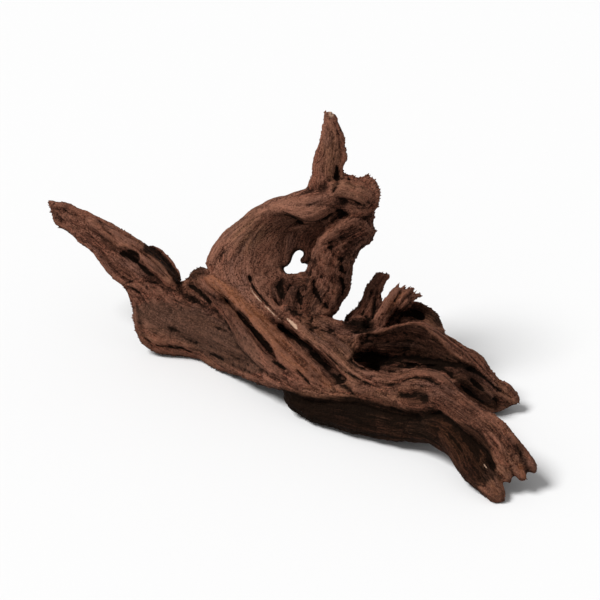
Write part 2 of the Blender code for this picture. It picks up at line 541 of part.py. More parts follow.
def back():
    """The solid heart of the root and the ridges and foot of its back."""
    return [
        Strand([(-118, 150, -196, 10, 9), (-95, 148, -188, 16, 12), (-68, 140, -176, 21, 16),
                (-38, 128, -160, 24, 20), (-5, 116, -148, 24, 22), (35, 108, -138, 22, 20),
                (75, 104, -132, 18, 16), (110, 96, -124, 13, 13), (140, 88, -118, 8, 9)]),
        Strand([(-20, 176, -142, 12, 10), (-10, 150, -142, 18, 14), (6, 128, -138, 20, 16),
                (30, 112, -128, 18, 16)]),
        Strand([(30, 132, -136, 12, 12), (60, 128, -132, 12, 12), (90, 124, -130, 12, 12),
                (120, 112, -124, 9, 10)]),
        Strand([(-16, 118, -136, 8, 8), (4, 107, -127, 9, 9), (24, 97, -117, 9, 9),
                (50, 92, -104, 13, 12), (80, 86, -94, 12, 12),
                (104, 80, -82, 10, 12), (124, 66, -66, 10, 10)]),
        Strand([(-74, 176, -166, 8, 9), (-54, 162, -164, 12, 12), (-30, 148, -158, 14, 13),
                (-4, 138, -152, 14, 12), (26, 130, -146, 12, 12), (54, 128, -142, 9, 10)]),
        Strand([(-126, 172, -200, 5, 6), (-104, 162, -202, 7, 8), (-76, 152, -196, 8, 9),
                (-42, 138, -184, 9, 9), (-6, 124, -172, 9, 9), (30, 114, -162, 8, 9),
                (66, 106, -152, 8, 8), (100, 99, -142, 7, 7), (132, 91, -130, 6, 6),
                (156, 84, -123, 4, 5)]),
        Strand([(-88, 126, -196, 6, 6), (-56, 120, -188, 7, 8), (-22, 111, -176, 8, 8),
                (14, 100, -160, 8, 9), (50, 91, -142, 8, 8), (84, 84, -128, 7, 7)]),
        Strand([(-56, 140, -166, 10, 10), (-30, 132, -172, 12, 11), (-6, 124, -182, 11, 10),
                (12, 116, -191, 9.5, 8.5), (24, 110.5, -197, 7, 7), (31, 107, -199, 5, 6)]),
        Strand([(-70, 142, -182, 6, 7), (-46, 133, -186, 7, 7), (-22, 123, -192, 7, 6.5),
                (-4, 115, -197, 6, 6), (6, 110, -200, 4.5, 5.5)]),
        Strand([(52, 112, -154, 7, 7), (36, 114, -166, 8, 8), (24, 114, -178, 8, 8),
                (20, 112, -188, 7, 7)]),
        Strand([(108, 146, -150, 5, 6), (100, 138, -154, 8, 8), (86, 128, -154, 9, 8),
                (66, 118, -152, 9, 8), (42, 112, -152, 8, 8)]),
        Strand([(58, 150, -144, 6, 6), (56, 138, -148, 8, 8), (46, 126, -152, 8, 8),
                (28, 118, -154, 8, 8)]),
        Strand([(26, 214, -128, 8, 8), (30, 196, -134, 9, 9), (24, 176, -138, 10, 9),
                (18, 156, -142, 11, 10), (14, 138, -148, 10, 10)]),
        Strand([(24, 286, -103, 4, 6), (22, 268, -110, 6, 7), (26, 252, -116, 8, 8),
                (34, 236, -122, 8, 8), (36, 220, -126, 7, 8)]),
    ]


HOLE = [(0, 199.6), (3.2, 196), (1.2, 192.8), (2.4, 189.2), (6.8, 191.2), (4, 186.4),
        (3.6, 183.6), (0, 182.4), (-4.8, 180.4), (-9.6, 181.6), (-12.4, 185.2),
        (-8.8, 186.8), (-6.4, 190.4), (-5.2, 195.2), (-2.8, 198.4)]


def hollows():
    """The slots, pits and knot holes that are cut into the skin."""
    return [
        Strand([(-60, 161.5, -142, 0.8, 4), (-50, 150, -136, 1.8, 9), (-39.3, 138.6, -127, 2.2, 11),
                (-30.7, 129, -119, 2.2, 10), (-22.4, 119, -111, 1.0, 5)]),
        Strand([(-24, 112, -111, 1.6, 6), (-18.3, 109.2, -107, 2.2, 8), (-10, 102.3, -103, 1.6, 7),
                (-5, 100, -101, 0.8, 4)]),
        Strand([(-146, 197.5, -176, 3, 5), (-139, 196, -173, 6, 10), (-131, 193, -172, 6, 9),
                (-122, 185, -171, 3, 7), (-115, 179.6, -168, 1.2, 4)]),
        Strand([(-17, 180, -119, 3, 6), (-16, 171, -117, 5.5, 12), (-14, 162, -116, 4, 10),
                (-12, 155, -116, 2, 5)]),
        Strand([(20, 172, -110, 2, 6), (18.5, 161, -108, 4, 11), (19, 151, -108, 2.5, 7)]),
        Strand([(-1, 163, -112, 1.6, 5), (0, 157, -111, 3, 8), (2, 151, -111, 2, 5)]),
        Strand([(83, 80, -56, 2.5, 5), (89, 83, -52, 5.5, 10), (97, 83.5, -48, 6, 11),
                (104, 81, -47, 3, 6)]),
        Strand([(39, 112, -96, 2, 6), (46, 112, -98, 5.5, 12), (56, 112, -104, 6, 12),
                (68, 109, -108, 2.4, 10), (92, 107, -104, 2, 9), (118, 107.5, -98, 1.8, 8),
                (138, 102, -96, 1.4, 6)]),
        Strand([(134, 98.5, -97, 1.4, 5), (142, 93, -97, 2.2, 8), (149, 87, -100, 1, 5)]),
        Strand([(82, 151, -134, 3, 6), (90, 149, -134, 4.5, 9), (100, 146, -138, 2, 5)]),
    ]


def limbs():
    """Return every limb that the skin is fused from."""
    groups = (arm, slab, ropes, front_limb, belly, ring, horn, column, shelf, stubs, wing, back)
    return [limb for group in groups for limb in group()]


def make_object(name, bm):
    """Turn bm into an object in the scene."""
    mesh = bpy.data.meshes.new(name)
    bm.to_mesh(mesh)
    bm.free()
    thing = bpy.data.objects.new(name, mesh)
    bpy.context.scene.collection.objects.link(thing)
    return thing


def add_hole_plug(bm):
    """Add the plug that opens the hole of the ring, drawn along the lines of sight."""
    rings = []
    for toward in (-60.0, -210.0):
        spots = place([(across, up, toward) for across, up in HOLE])
        rings.append([bm.verts.new(spot) for spot in spots])
    count = len(HOLE)
    for side in range(count):
        after = (side + 1) % count
        bm.faces.new((rings[0][side], rings[0][after], rings[1][after], rings[1][side]))
    bm.faces.new(rings[0][::-1])
    bm.faces.new(rings[1])


def bake_modifiers(thing):
    """Replace an object's mesh by what its modifiers make of it."""
    depsgraph = bpy.context.evaluated_depsgraph_get()
    made = bpy.data.meshes.new_from_object(thing.evaluated_get(depsgraph))
    thing.modifiers.clear()
    thing.data = made


def remesh(thing, voxel):
    """Fuse all that the object holds into one skin of even faces."""
    skin = thing.modifiers.new("skin", "REMESH")
    skin.mode = "VOXEL"
    skin.voxel_size = voxel
    skin.use_smooth_shade = True
    bake_modifiers(thing)


def keep_largest_body(thing):
    """Delete every loose shell but the largest, such as the wall of a sealed pocket."""
    bm = bmesh.new()
    bm.from_mesh(thing.data)
    left = set(bm.verts)
    bodies = []
    while left:
        front = [left.pop()]
        body = set(front)
        while front:
            vert = front.pop()
            for edge in vert.link_edges:
                other = edge.other_vert(vert)
                if other not in body:
                    body.add(other)
                    left.discard(other)
                    front.append(other)
        bodies.append(body)
    largest = max(bodies, key=len)
    bmesh.ops.delete(bm, geom=[v for v in bm.verts if v not in largest], context="VERTS")
    bm.to_mesh(thing.data)
    bm.free()


def cut(thing, cutter):
    """Take the cutter's shape away from the object."""
    hollow = thing.modifiers.new("hollow", "BOOLEAN")
    hollow.operation = "DIFFERENCE"
    hollow.solver = "EXACT"
    hollow.object = cutter
    bake_modifiers(thing)
    bpy.data.objects.remove(cutter)


def smooth(thing, passes):
    """Ease the skin a little."""
    ease = thing.modifiers.new("ease", "SMOOTH")
    ease.factor = 0.5
    ease.iterations = passes
    bake_modifiers(thing)


def thin_out(thing, triangles):
    """Bring the object down to a number of triangles."""
    now = sum(len(face.vertices) - 2 for face in thing.data.polygons)
    fewer = thing.modifiers.new("fewer", "DECIMATE")
    fewer.ratio = min(1.0, triangles / now)
    fewer.use_collapse_triangulate = True
    bake_modifiers(thing)


def flatten_feet(thing, reach):
    """Press whatever is below reach on to the ground, so that the root has real flat feet."""
    for vert in thing.data.vertices:
        if vert.co.z < reach:
            vert.co.z = 0.0


def wood():
    """Return the material of weathered brown wood."""
    material = bpy.data.materials.new("wood")
    material.use_nodes = True
    shader = material.node_tree.nodes["Principled BSDF"]
    shader.inputs["Base Color"].default_value = (0.155, 0.078, 0.050, 1.0)
    shader.inputs["Roughness"].default_value = 0.78
    shader.inputs["Metallic"].default_value = 0.0
    return material


def main():
    """Build the root."""
    for thing in list(bpy.data.objects):
        bpy.data.objects.remove(thing)
    bm = bmesh.new()
    for seed, limb in enumerate(limbs()):
        loft(bm, limb, seed)
    bmesh.ops.recalc_face_normals(bm, faces=bm.faces[:])
    root = make_object(NAME, bm)
    remesh(root, SKIN_VOXEL)
    cutters = bmesh.new()
    for seed, hollow in enumerate(hollows(), start=500):
        loft(cutters, hollow, seed)
    add_hole_plug(cutters)
    bmesh.ops.recalc_face_normals(cutters, faces=cutters.faces[:])
    cut(root, make_object("cutters", cutters))
    remesh(root, EVEN_VOXEL)
    keep_largest_body(root)
    smooth(root, SMOOTH_PASSES)
    flatten_feet(root, 0.0)
    thin_out(root, TARGET_TRIANGLES)
    flatten_feet(root, FOOT_SNAP)
    root.data.materials.clear()
    root.data.materials.append(wood())


main()
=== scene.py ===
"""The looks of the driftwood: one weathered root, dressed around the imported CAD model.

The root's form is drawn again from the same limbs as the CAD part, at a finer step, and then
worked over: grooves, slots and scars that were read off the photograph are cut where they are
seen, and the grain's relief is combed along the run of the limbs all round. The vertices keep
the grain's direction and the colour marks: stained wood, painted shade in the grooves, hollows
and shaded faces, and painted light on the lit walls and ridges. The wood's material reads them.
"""

import logging
import math
from dataclasses import dataclass, field
from enum import Enum
from typing import Iterable

import bmesh
import bpy
import numpy as np
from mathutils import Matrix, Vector
from mathutils.kdtree import KDTree

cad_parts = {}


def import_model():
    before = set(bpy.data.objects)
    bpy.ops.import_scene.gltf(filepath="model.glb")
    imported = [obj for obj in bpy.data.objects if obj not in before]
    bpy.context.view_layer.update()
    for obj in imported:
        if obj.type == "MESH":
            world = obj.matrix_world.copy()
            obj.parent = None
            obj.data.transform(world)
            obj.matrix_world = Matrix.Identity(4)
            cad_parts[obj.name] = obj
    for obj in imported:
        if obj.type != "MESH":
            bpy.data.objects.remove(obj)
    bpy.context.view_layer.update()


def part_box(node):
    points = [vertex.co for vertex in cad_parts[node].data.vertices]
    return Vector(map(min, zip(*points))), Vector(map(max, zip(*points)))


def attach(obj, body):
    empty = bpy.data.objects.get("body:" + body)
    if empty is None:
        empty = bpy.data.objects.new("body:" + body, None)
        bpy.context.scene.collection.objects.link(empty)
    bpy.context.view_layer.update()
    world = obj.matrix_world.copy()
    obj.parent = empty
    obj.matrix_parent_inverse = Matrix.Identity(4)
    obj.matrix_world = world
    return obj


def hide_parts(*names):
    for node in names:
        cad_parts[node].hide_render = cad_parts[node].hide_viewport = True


log = logging.getLogger("driftwood")

MILLIMETRE = 0.001
NODE = "driftwood"
BODY = "root"
CENTRE = (0.0, 0.0, 0.07)
FAR = 1e9
LEAST_SEEN = 0.02
COMB_STEPS = 14

Array = np.ndarray
Thing = bpy.types.Object
Triple = tuple[float, float, float]
Tint = Triple

# Numbers read off the photograph in fixed groups, such as across, up
Row = list[float]


@dataclass(frozen=True)
class SketchPlane:
    """The leaning plane that the root is drawn on, as an eye in front of it sees it.

    A sketch point is (across, up, toward) in millimetres. A point keeps its place in the
    outline whatever its depth.
    """

    lean: float = math.radians(30.0)
    eye_distance: float = 1600.0
    aim: Triple = (0.0, 160.0, -90.0)
    ground_up: float = -3.0
    origin: tuple[float, float] = (-0.0170, 0.1579)

    def axes(self) -> tuple[Array, Array, Array]:
        """Return the plane's right, up and toward directions in the part's frame."""
        right = np.array((1.0, 0.0, 0.0))
        up = np.array((0.0, math.sin(self.lean), math.cos(self.lean)))
        toward = np.array((0.0, -math.cos(self.lean), math.sin(self.lean)))
        return right, up, toward

    def aim_spot(self) -> Array:
        """Return the aim's place in the part's frame, in millimetres."""
        _, up, toward = self.axes()
        spot = (self.aim[1] - self.ground_up) * up + self.aim[2] * toward
        spot[1] += self.ground_up * math.sin(self.lean)
        return spot - np.array((*self.origin, 0.0)) / MILLIMETRE

    def place(self, points: Array) -> Array:
        """Turn sketch points into places in the part's frame.

        Args:
            points: rows of (across, up, toward) in millimetres.

        Returns:
            Rows of (x, y, z) in metres.
        """
        sketch = np.asarray(points, dtype=float).reshape(-1, 3)
        right, up, toward = self.axes()
        depth = sketch[:, 2] - self.aim[2]
        nearness = (self.eye_distance - depth) / self.eye_distance
        across = (sketch[:, 0] - self.aim[0]) * nearness
        rise = (sketch[:, 1] - self.aim[1]) * nearness
        spots = self.aim_spot() + np.outer(across, right) + np.outer(rise, up)
        return (spots + np.outer(depth, toward)) * MILLIMETRE

    def unplace(self, spots: Array) -> Array:
        """Turn places in the part's frame back into sketch points.

        Args:
            spots: rows of (x, y, z) in metres.

        Returns:
            Rows of (across, up, toward) in millimetres.
        """
        right, up, toward = self.axes()
        away = spots / MILLIMETRE - self.aim_spot()
        depth = away @ toward
        nearness = (self.eye_distance - depth) / self.eye_distance
        across = away @ right / nearness + self.aim[0]
        rise = away @ up / nearness + self.aim[1]
        return np.column_stack((across, rise, depth + self.aim[2]))

    def eye(self) -> Array:
        """Return the eye's place in the part's frame, in metres."""
        return (self.aim_spot() + self.eye_distance * self.axes()[2]) * MILLIMETRE


PLANE = SketchPlane()


def run_lengths(points: Array) -> Array:
    """Return how far along a line of points each point lies, from 0 to 1."""
    steps = np.linalg.norm(np.diff(points, axis=0), axis=1)
    along = np.concatenate(([0.0], np.cumsum(steps)))
    return along / along[-1]


def even_values(values: list[float], count: int) -> Array:
    """Spread values, given at even steps, over count stations, eased between them."""
    knots = np.linspace(0.0, 1.0, len(values))
    fine = np.interp(np.linspace(0.0, 1.0, count), knots, values)
    reach = max(1, count // (2 * max(1, len(values) - 1)))
    padded = np.pad(fine, reach, mode="edge")
    window = np.ones(2 * reach + 1) / (2 * reach + 1)
    eased = np.convolve(padded, window, mode="valid")
    eased[0], eased[-1] = fine[0], fine[-1]
    return eased


def curve_through(knots: Array, count: int) -> Array:
    """Return count rows along a smooth curve through the rows of knots.

    Args:
        knots: rows whose first three columns are a place.
        count: how many rows to return.

    Returns:
        The rows, with every column carried along.
    """
    lengths = run_lengths(knots[:, :3])
    ends = np.vstack((2 * knots[0] - knots[1], knots, 2 * knots[-1] - knots[-2]))
    along = np.linspace(0.0, 1.0, count)
    span = np.clip(np.searchsorted(lengths, along, side="right") - 1, 0, len(knots) - 2)
    part = ((along - lengths[span]) / (lengths[span + 1] - lengths[span]))[:, None]
    before, start, end, after = (ends[span + shift] for shift in range(4))
    rows = 0.5 * (
        2 * start
        + (end - before) * part
        + (2 * before - 5 * start + 4 * end - after) * part**2
        + (3 * start - before - 3 * end + after) * part**3
    )
    rows[:, 3:] = np.maximum(rows[:, 3:], 0.4)
    return rows


@dataclass(frozen=True)
class Track:
    """The sections of one limb: centres, half widths and half thicknesses along it."""

    centre: Array
    width: Array
    thick: Array
    swell: Array

    def path(self) -> Array:
        """Return the direction of the run at each section."""
        path = np.gradient(self.centre, axis=0)
        return path / np.linalg.norm(path, axis=1)[:, None]

    def normal(self) -> Array:
        """Return the direction of the thickness at each section."""
        normal = np.cross(self.path(), self.width)
        return normal / np.linalg.norm(normal, axis=1)[:, None]


def end_swell(count: int, ends: tuple[float, float]) -> Array:
    """Return the share of the full section along a limb with rounded ends."""
    along = np.linspace(0.0, 1.0, count)
    swell = np.ones(count)
    for reach, inward in zip(ends, (along, 1 - along)):
        if reach > 0:
            swell = np.minimum(swell, np.sqrt(1 - np.clip(1 - inward / reach, 0, 0.97) ** 2))
    return swell


@dataclass(frozen=True)
class Band:
    """A limb or sheet between two edges that were read from its outline.

    The edges are rows of across, up. depth gives both edges' toward at even steps along
    them, or the upper edge's where lower_depth gives the lower one's. thick is the half
    thickness.
    """

    upper: Row
    lower: Row
    depth: Row
    thick: Row
    lower_depth: Row | None = None
    square: float = 0.85
    ends: tuple[float, float] = (0.12, 0.12)
    flutes: float = 0.05

    def track(self, step: float) -> Track:
        """Return the band's sections, about step millimetres apart."""
        edges = [np.array(edge, float).reshape(-1, 2) for edge in (self.upper, self.lower)]
        length = max(np.linalg.norm(np.diff(edge, axis=0), axis=1).sum() for edge in edges)
        count = max(6, int(length / step))
        along = np.linspace(0.0, 1.0, count)
        rails = []
        for edge, depth in zip(edges, (self.depth, self.lower_depth or self.depth)):
            lengths = run_lengths(edge)
            flat = [np.interp(along, lengths, edge[:, axis]) for axis in (0, 1)]
            rails.append(PLANE.place(np.column_stack((*flat, even_values(depth, count)))))
        thick = even_values(self.thick, count) * MILLIMETRE
        centre, width = (rails[0] + rails[1]) / 2, (rails[0] - rails[1]) / 2
        return Track(centre, width, thick, end_swell(count, self.ends))


@dataclass(frozen=True)
class Strand:
    """A rounder limb or rope of wood along its middle line.

    line is a row of stations: across, up, toward, half width, half thickness.
    """

    line: Row
    square: float = 0.9
    ends: tuple[float, float] = (0.1, 0.1)
    flutes: float = 0.07

    def track(self, step: float) -> Track:
        """Return the strand's sections, about step millimetres apart."""
        knots = np.array(self.line, float).reshape(-1, 5)
        length = np.linalg.norm(np.diff(knots[:, :3], axis=0), axis=1).sum()
        count = max(6, int(length / step))
        fine = curve_through(knots, count)
        centre = PLANE.place(fine[:, :3])
        width = np.cross(PLANE.axes()[2], np.gradient(centre, axis=0))
        width *= fine[:, 3:4] * MILLIMETRE / np.linalg.norm(width, axis=1)[:, None]
        return Track(centre, width, fine[:, 4] * MILLIMETRE, end_swell(count, self.ends))


Limb = Band | Strand


# The long arm that reaches back to the left and ends broken off.
ARM: list[Limb] = [
    Band(upper=[-201, 240.6, -195.6, 239.2, -188.6, 238.9, -180.6, 235.3, -170, 231.3,
        -159.6, 225.4, -148.4, 220.2, -138.8, 215, -124.2, 205.6, -112, 195, -102, 184.4,
        -95, 174],
        lower=[-196.4, 220.6, -192.6, 216.8, -188, 214.8, -178, 207.6, -168, 200.8, -159.2, 191.2,
        -150.8, 179.4, -143.6, 173, -138, 169, -128, 160, -115, 152], depth=[-205, -203, -201,
        -199, -197, -194], lower_depth=[-205, -202, -200, -198, -195, -192],
        thick=[6, 8, 10, 12, 13.5, 14, 13], ends=(0, 0.1)),
    Strand([-202, 240, -205, 1.8, 2.5, -194, 235.6, -203, 3.4, 6, -184, 231, -200, 6, 8],
        ends=(0, 0.1)),
    Strand([-198, 228, -204, 1.6, 3, -193, 227, -202, 4, 6, -184, 226, -200, 6, 9]),
    Strand([-173, 226, -190, 4, 6, -159, 217, -187, 5, 8, -144, 207, -184, 6, 9,
        -132, 200, -182, 6, 9, -118, 189, -181, 6, 9, -106, 178, -180, 6, 8,
        -96, 169, -178, 4, 6]),
    Strand([-125, 198, -201, 4, 5, -117, 197, -204, 6.6, 6, -109.8, 190, -205, 7, 7,
        -103.2, 182, -203, 7, 7, -98.4, 171, -198, 6, 7]),
    Strand([-180, 210, -197, 2.5, 4, -166, 200.5, -194, 2.6, 5, -158, 191, -191, 2.8, 5,
        -150, 181, -189, 2.8, 5, -142, 174.5, -187, 2.6, 5, -134, 172, -185, 3, 5]),
]

# The broad slab that stands on the ground on its lower edge.
SLAB: list[Limb] = [
    Band(upper=[-141, 171, -139, 177, -128, 179.4, -117.6, 178.6, -104.8, 171.6, -92, 168,
        -81.5, 163.5, -72, 156, -62, 148.5, -55, 139, -49, 129, -40, 121, -30, 112, -18, 104,
        -5, 96, 10, 89],
        lower=[-140.2, 168, -136.2, 160, -133, 150, -132.2, 138, -129.5, 128.5, -122.3, 122,
        -115, 118.2, -100, 115.4, -90, 115.2, -79.6, 113.3, -70, 108, -60.4, 103.2, -44, 98.4,
        -28.7, 90.8, -14.8, 88, 2, 82],
        depth=[-184, -183, -181, -178, -172, -160, -142, -124, -108],
        lower_depth=[-190, -197, -200, -201.5, -200, -182, -156, -130, -104],
        thick=[7, 9, 10, 10.5, 11, 11, 10, 8], square=0.7),
    Strand([-121, 124, -201, 3, 6, -105, 121, -201, 4, 8, -90, 121, -199, 5, 9,
        -76, 118, -193, 5.5, 9, -62, 112, -180, 5.5, 9, -45, 104, -157, 5.5, 9,
        -28, 97, -135, 6, 8, -12, 92, -117, 5, 7, 4, 88, -106, 4, 6]),
    Strand([-104, 166, -188, 6, 7, -88, 168, -183, 8, 8, -74, 163, -175, 9, 9,
        -60, 152, -168, 9, 9]),
    Strand([-93, 170, -184, 5, 6, -86, 173, -181, 6.5, 7, -78, 174, -176, 6.5, 7,
        -70, 172, -168, 6, 7]),
    Strand([-86, 181, -164, 4, 7, -77, 175, -158, 5, 8, -68, 167.5, -151, 5, 9,
        -60.5, 160.5, -147, 3.5, 7]),
    Strand([-88.4, 178.4, -181, 3, 5, -82, 182, -180, 3.6, 4, -76, 181, -172, 4.5, 5,
        -70, 178, -164, 5, 6]),
]

# The ropes of wood that run from the arm down to the tongue.
ROPES: list[Limb] = [
    Strand([-86, 177, -170, 4, 6, -76.7, 170, -164, 6, 8, -67, 161, -160, 6.5, 9,
        -57.5, 152, -153, 6.5, 9, -51, 142, -146, 6.5, 9, -45, 132, -139, 7, 9,
        -38, 122, -131, 7.5, 9, -30, 113, -124, 7, 8, -18, 104, -115, 6, 7, -6, 97, -108, 5, 6,
        8, 91, -102, 5, 6, 20, 87, -98, 3.5, 5]),
    Band(upper=[-78, 185, -64, 179, -52, 171, -42, 163, -33, 153, -27, 145, -20, 139.4, -8, 127.4,
        2.4, 119.4, 11.2, 111.4, 20, 99.4, 27.2, 91.4, 34.4, 83],
        lower=[-80, 179, -70, 170.5, -60, 161, -50, 151, -40, 140.5, -30, 130, -21, 118.5,
        -16, 108, -6, 100, 2, 94, 12, 88, 24, 84.3, 33.6, 82],
        depth=[-150, -143, -135, -126, -118, -110, -103, -98, -93],
        thick=[6, 8, 9.5, 10.5, 11, 10, 8.5, 6, 2.5]),
    Strand([-30, 101, -131, 5, 8, -10, 92, -116, 6, 8, 8, 86, -104, 6, 8, 28, 82.5, -96, 5, 7,
        45, 81, -89, 5, 7, 60, 77.5, -82, 5, 7, 75, 73.5, -76, 5, 6, 90, 71, -71, 5, 6,
        104, 71.5, -66, 5, 6, 112, 73, -62, 4, 5]),
    Strand([-14, 148, -120, 4, 6, -2.4, 139, -115, 5, 7, 8, 130, -110, 5.5, 8, 20, 121, -104, 6, 8,
        28, 113, -99, 6, 8, 36, 105.6, -94, 6, 8, 44, 99.2, -89, 6, 8, 56, 92.8, -82, 6, 8,
        66, 88.8, -76, 6, 8, 80, 87, -69, 5, 7, 90, 90, -64, 4, 6]),
    Strand([0, 141, -118, 4, 6, 9.6, 134, -114, 5, 7, 22, 127, -108, 6, 8, 32, 120, -103, 6.5, 8,
        42.4, 109, -97, 6.5, 8, 50, 101, -90, 6.5, 8, 60, 97, -84, 6.5, 8, 70, 95.5, -77, 6, 8,
        80, 96, -71, 6, 8, 90, 100, -66, 6, 8, 101, 100, -61, 6, 8, 111, 97.5, -56, 5.5, 8,
        120, 90, -51, 5, 7, 130, 80.5, -45, 5, 7, 142, 72, -39, 4.5, 6, 155, 64, -33, 4, 5]),
    Strand([28, 91, -93, 4, 6, 42, 89.5, -86, 5, 7, 55, 86.5, -80, 5, 7, 68, 83, -74, 5, 7,
        80, 77.5, -69, 4.5, 7, 92, 73.5, -64, 4.5, 6, 104, 74, -59, 4.5, 6, 115, 77, -54, 5, 7,
        126, 72, -48, 6, 8, 138, 64, -41, 7, 9, 150, 54, -33, 8, 9, 160, 44, -26, 8, 8,
        168, 35, -21, 6, 6]),
]

# The limb that comes forward to the right and ends in fingers and a thumb.
FRONT_LIMB: list[Limb] = [
    Band(upper=[40, 104, 50, 102, 64, 100.5, 72, 98.8, 80, 99, 94.6, 104, 112.8, 101.6, 124.8, 89,
        140, 76.4, 153.6, 67.6, 166.4, 59.8, 176, 47, 182.4, 39, 186, 34],
        lower=[40, 84, 50, 80, 62, 77, 75, 73, 88, 70, 100, 70, 112, 73, 121, 66, 131, 58, 141, 50,
        149, 42, 154, 35, 156, 28, 160, 22],
        depth=[-92, -88, -82, -74, -66, -57, -46, -36, -29, -24, -21],
        lower_depth=[-84, -78, -72, -66, -59, -50, -38, -28, -22, -18, -16],
        thick=[8, 9, 10, 11, 12, 13, 12, 11, 10, 8, 6], square=0.8),
    Band(upper=[164, 61, 176, 47.4, 183, 39.6, 187.4, 32.8, 189, 27.4, 186.6, 23.6],
        lower=[146, 42, 151, 33, 156, 24.4, 163, 19.6, 171, 20.6, 182.6, 22], depth=[-27, -25, -23,
        -21], thick=[7, 7, 6.5, 5], ends=(0.1, 0.06)),
    Band(upper=[176, 44, 183.6, 37, 188, 31.4, 190, 26.6, 190.4, 22.8], lower=[172, 34, 177, 28.6,
        181, 24, 184.8, 21.2, 188.8, 20.6], depth=[-25, -23.6, -22], thick=[6, 5.6, 3.4],
        ends=(0.1, 0.04)),
    Band(upper=[172, 32, 178.6, 26, 182, 21, 182.6, 18, 181.6, 15.2], lower=[164, 26, 168.4, 21.6,
        171.8, 18.6, 175.4, 16, 179.8, 13.8], depth=[-21, -19, -17.6], thick=[6, 5, 2.6],
        ends=(0.1, 0.04)),
    Band(upper=[160, 32, 166.6, 25, 169.8, 20.4, 170, 17, 169, 13.4], lower=[154, 26, 157, 21.8,
        160.2, 18.4, 164.2, 14.8, 168, 12], depth=[-21, -18.4, -16.6], thick=[6, 5, 2.4],
        ends=(0.1, 0.04)),
    Band(upper=[124, 66, 139, 52, 148, 40, 152, 30, 156, 22, 159.6, 18.2, 160.8, 13.6, 164, 8,
        166.2, 0.6],
        lower=[106, 58, 114, 42, 119.6, 35, 126, 24.6, 130, 17, 139.4, 10.2, 147.8, 3, 155.6, -2.4,
        162, -4],
        depth=[-64, -57, -50, -44, -37, -30, -22, -17, -15],
        lower_depth=[-56, -47, -40, -34, -28, -22, -18, -16, -15.5],
        thick=[9, 10, 11, 11, 11, 10, 9, 8, 5], ends=(0.1, 0.14)),
    Strand([130, 54, -46, 8, 9, 142, 43, -39, 8, 9, 149, 34, -32, 7, 9, 153, 27, -27, 4.4, 6]),
    Strand([146, 14, -26, 4, 6, 152, 8, -20, 6, 7, 158, 2.6, -16, 6.4, 7,
        161.8, -0.8, -14.5, 3.8, 5]),
]

# The underside that hangs between the slab and the claw, dark with painted shade.
BELLY: list[Limb] = [
    Band(upper=[-15, 88, 0, 89, 20, 88, 40, 88, 60, 85, 80, 81, 95, 79, 108, 77, 120, 70],
        lower=[-11.2, 78, -6.4, 72.8, 8, 63, 24, 59.4, 40, 54.4, 54.4, 51.6, 74.4, 48.2, 88, 47,
        103, 46, 114, 42.4],
        depth=[-121, -120, -115, -107, -99, -91, -84, -78, -70],
        lower_depth=[-110, -106, -97, -88, -82, -75, -69, -63, -55],
        thick=[7, 9, 10, 10, 10, 10, 9, 9, 8], square=0.75, ends=(0.03, 0.1)),
    Strand([84, 58, -71, 5, 8, 94, 57, -66, 8, 9, 104, 54, -60, 8, 9, 114, 48, -53, 8, 9,
        124, 40, -46, 7, 8, 132, 30, -38, 6, 7]),
    Strand([96, 64, -62, 5, 7, 108, 62, -57, 7, 8, 118, 57, -50, 8, 8, 130, 47, -42, 7, 8]),
]

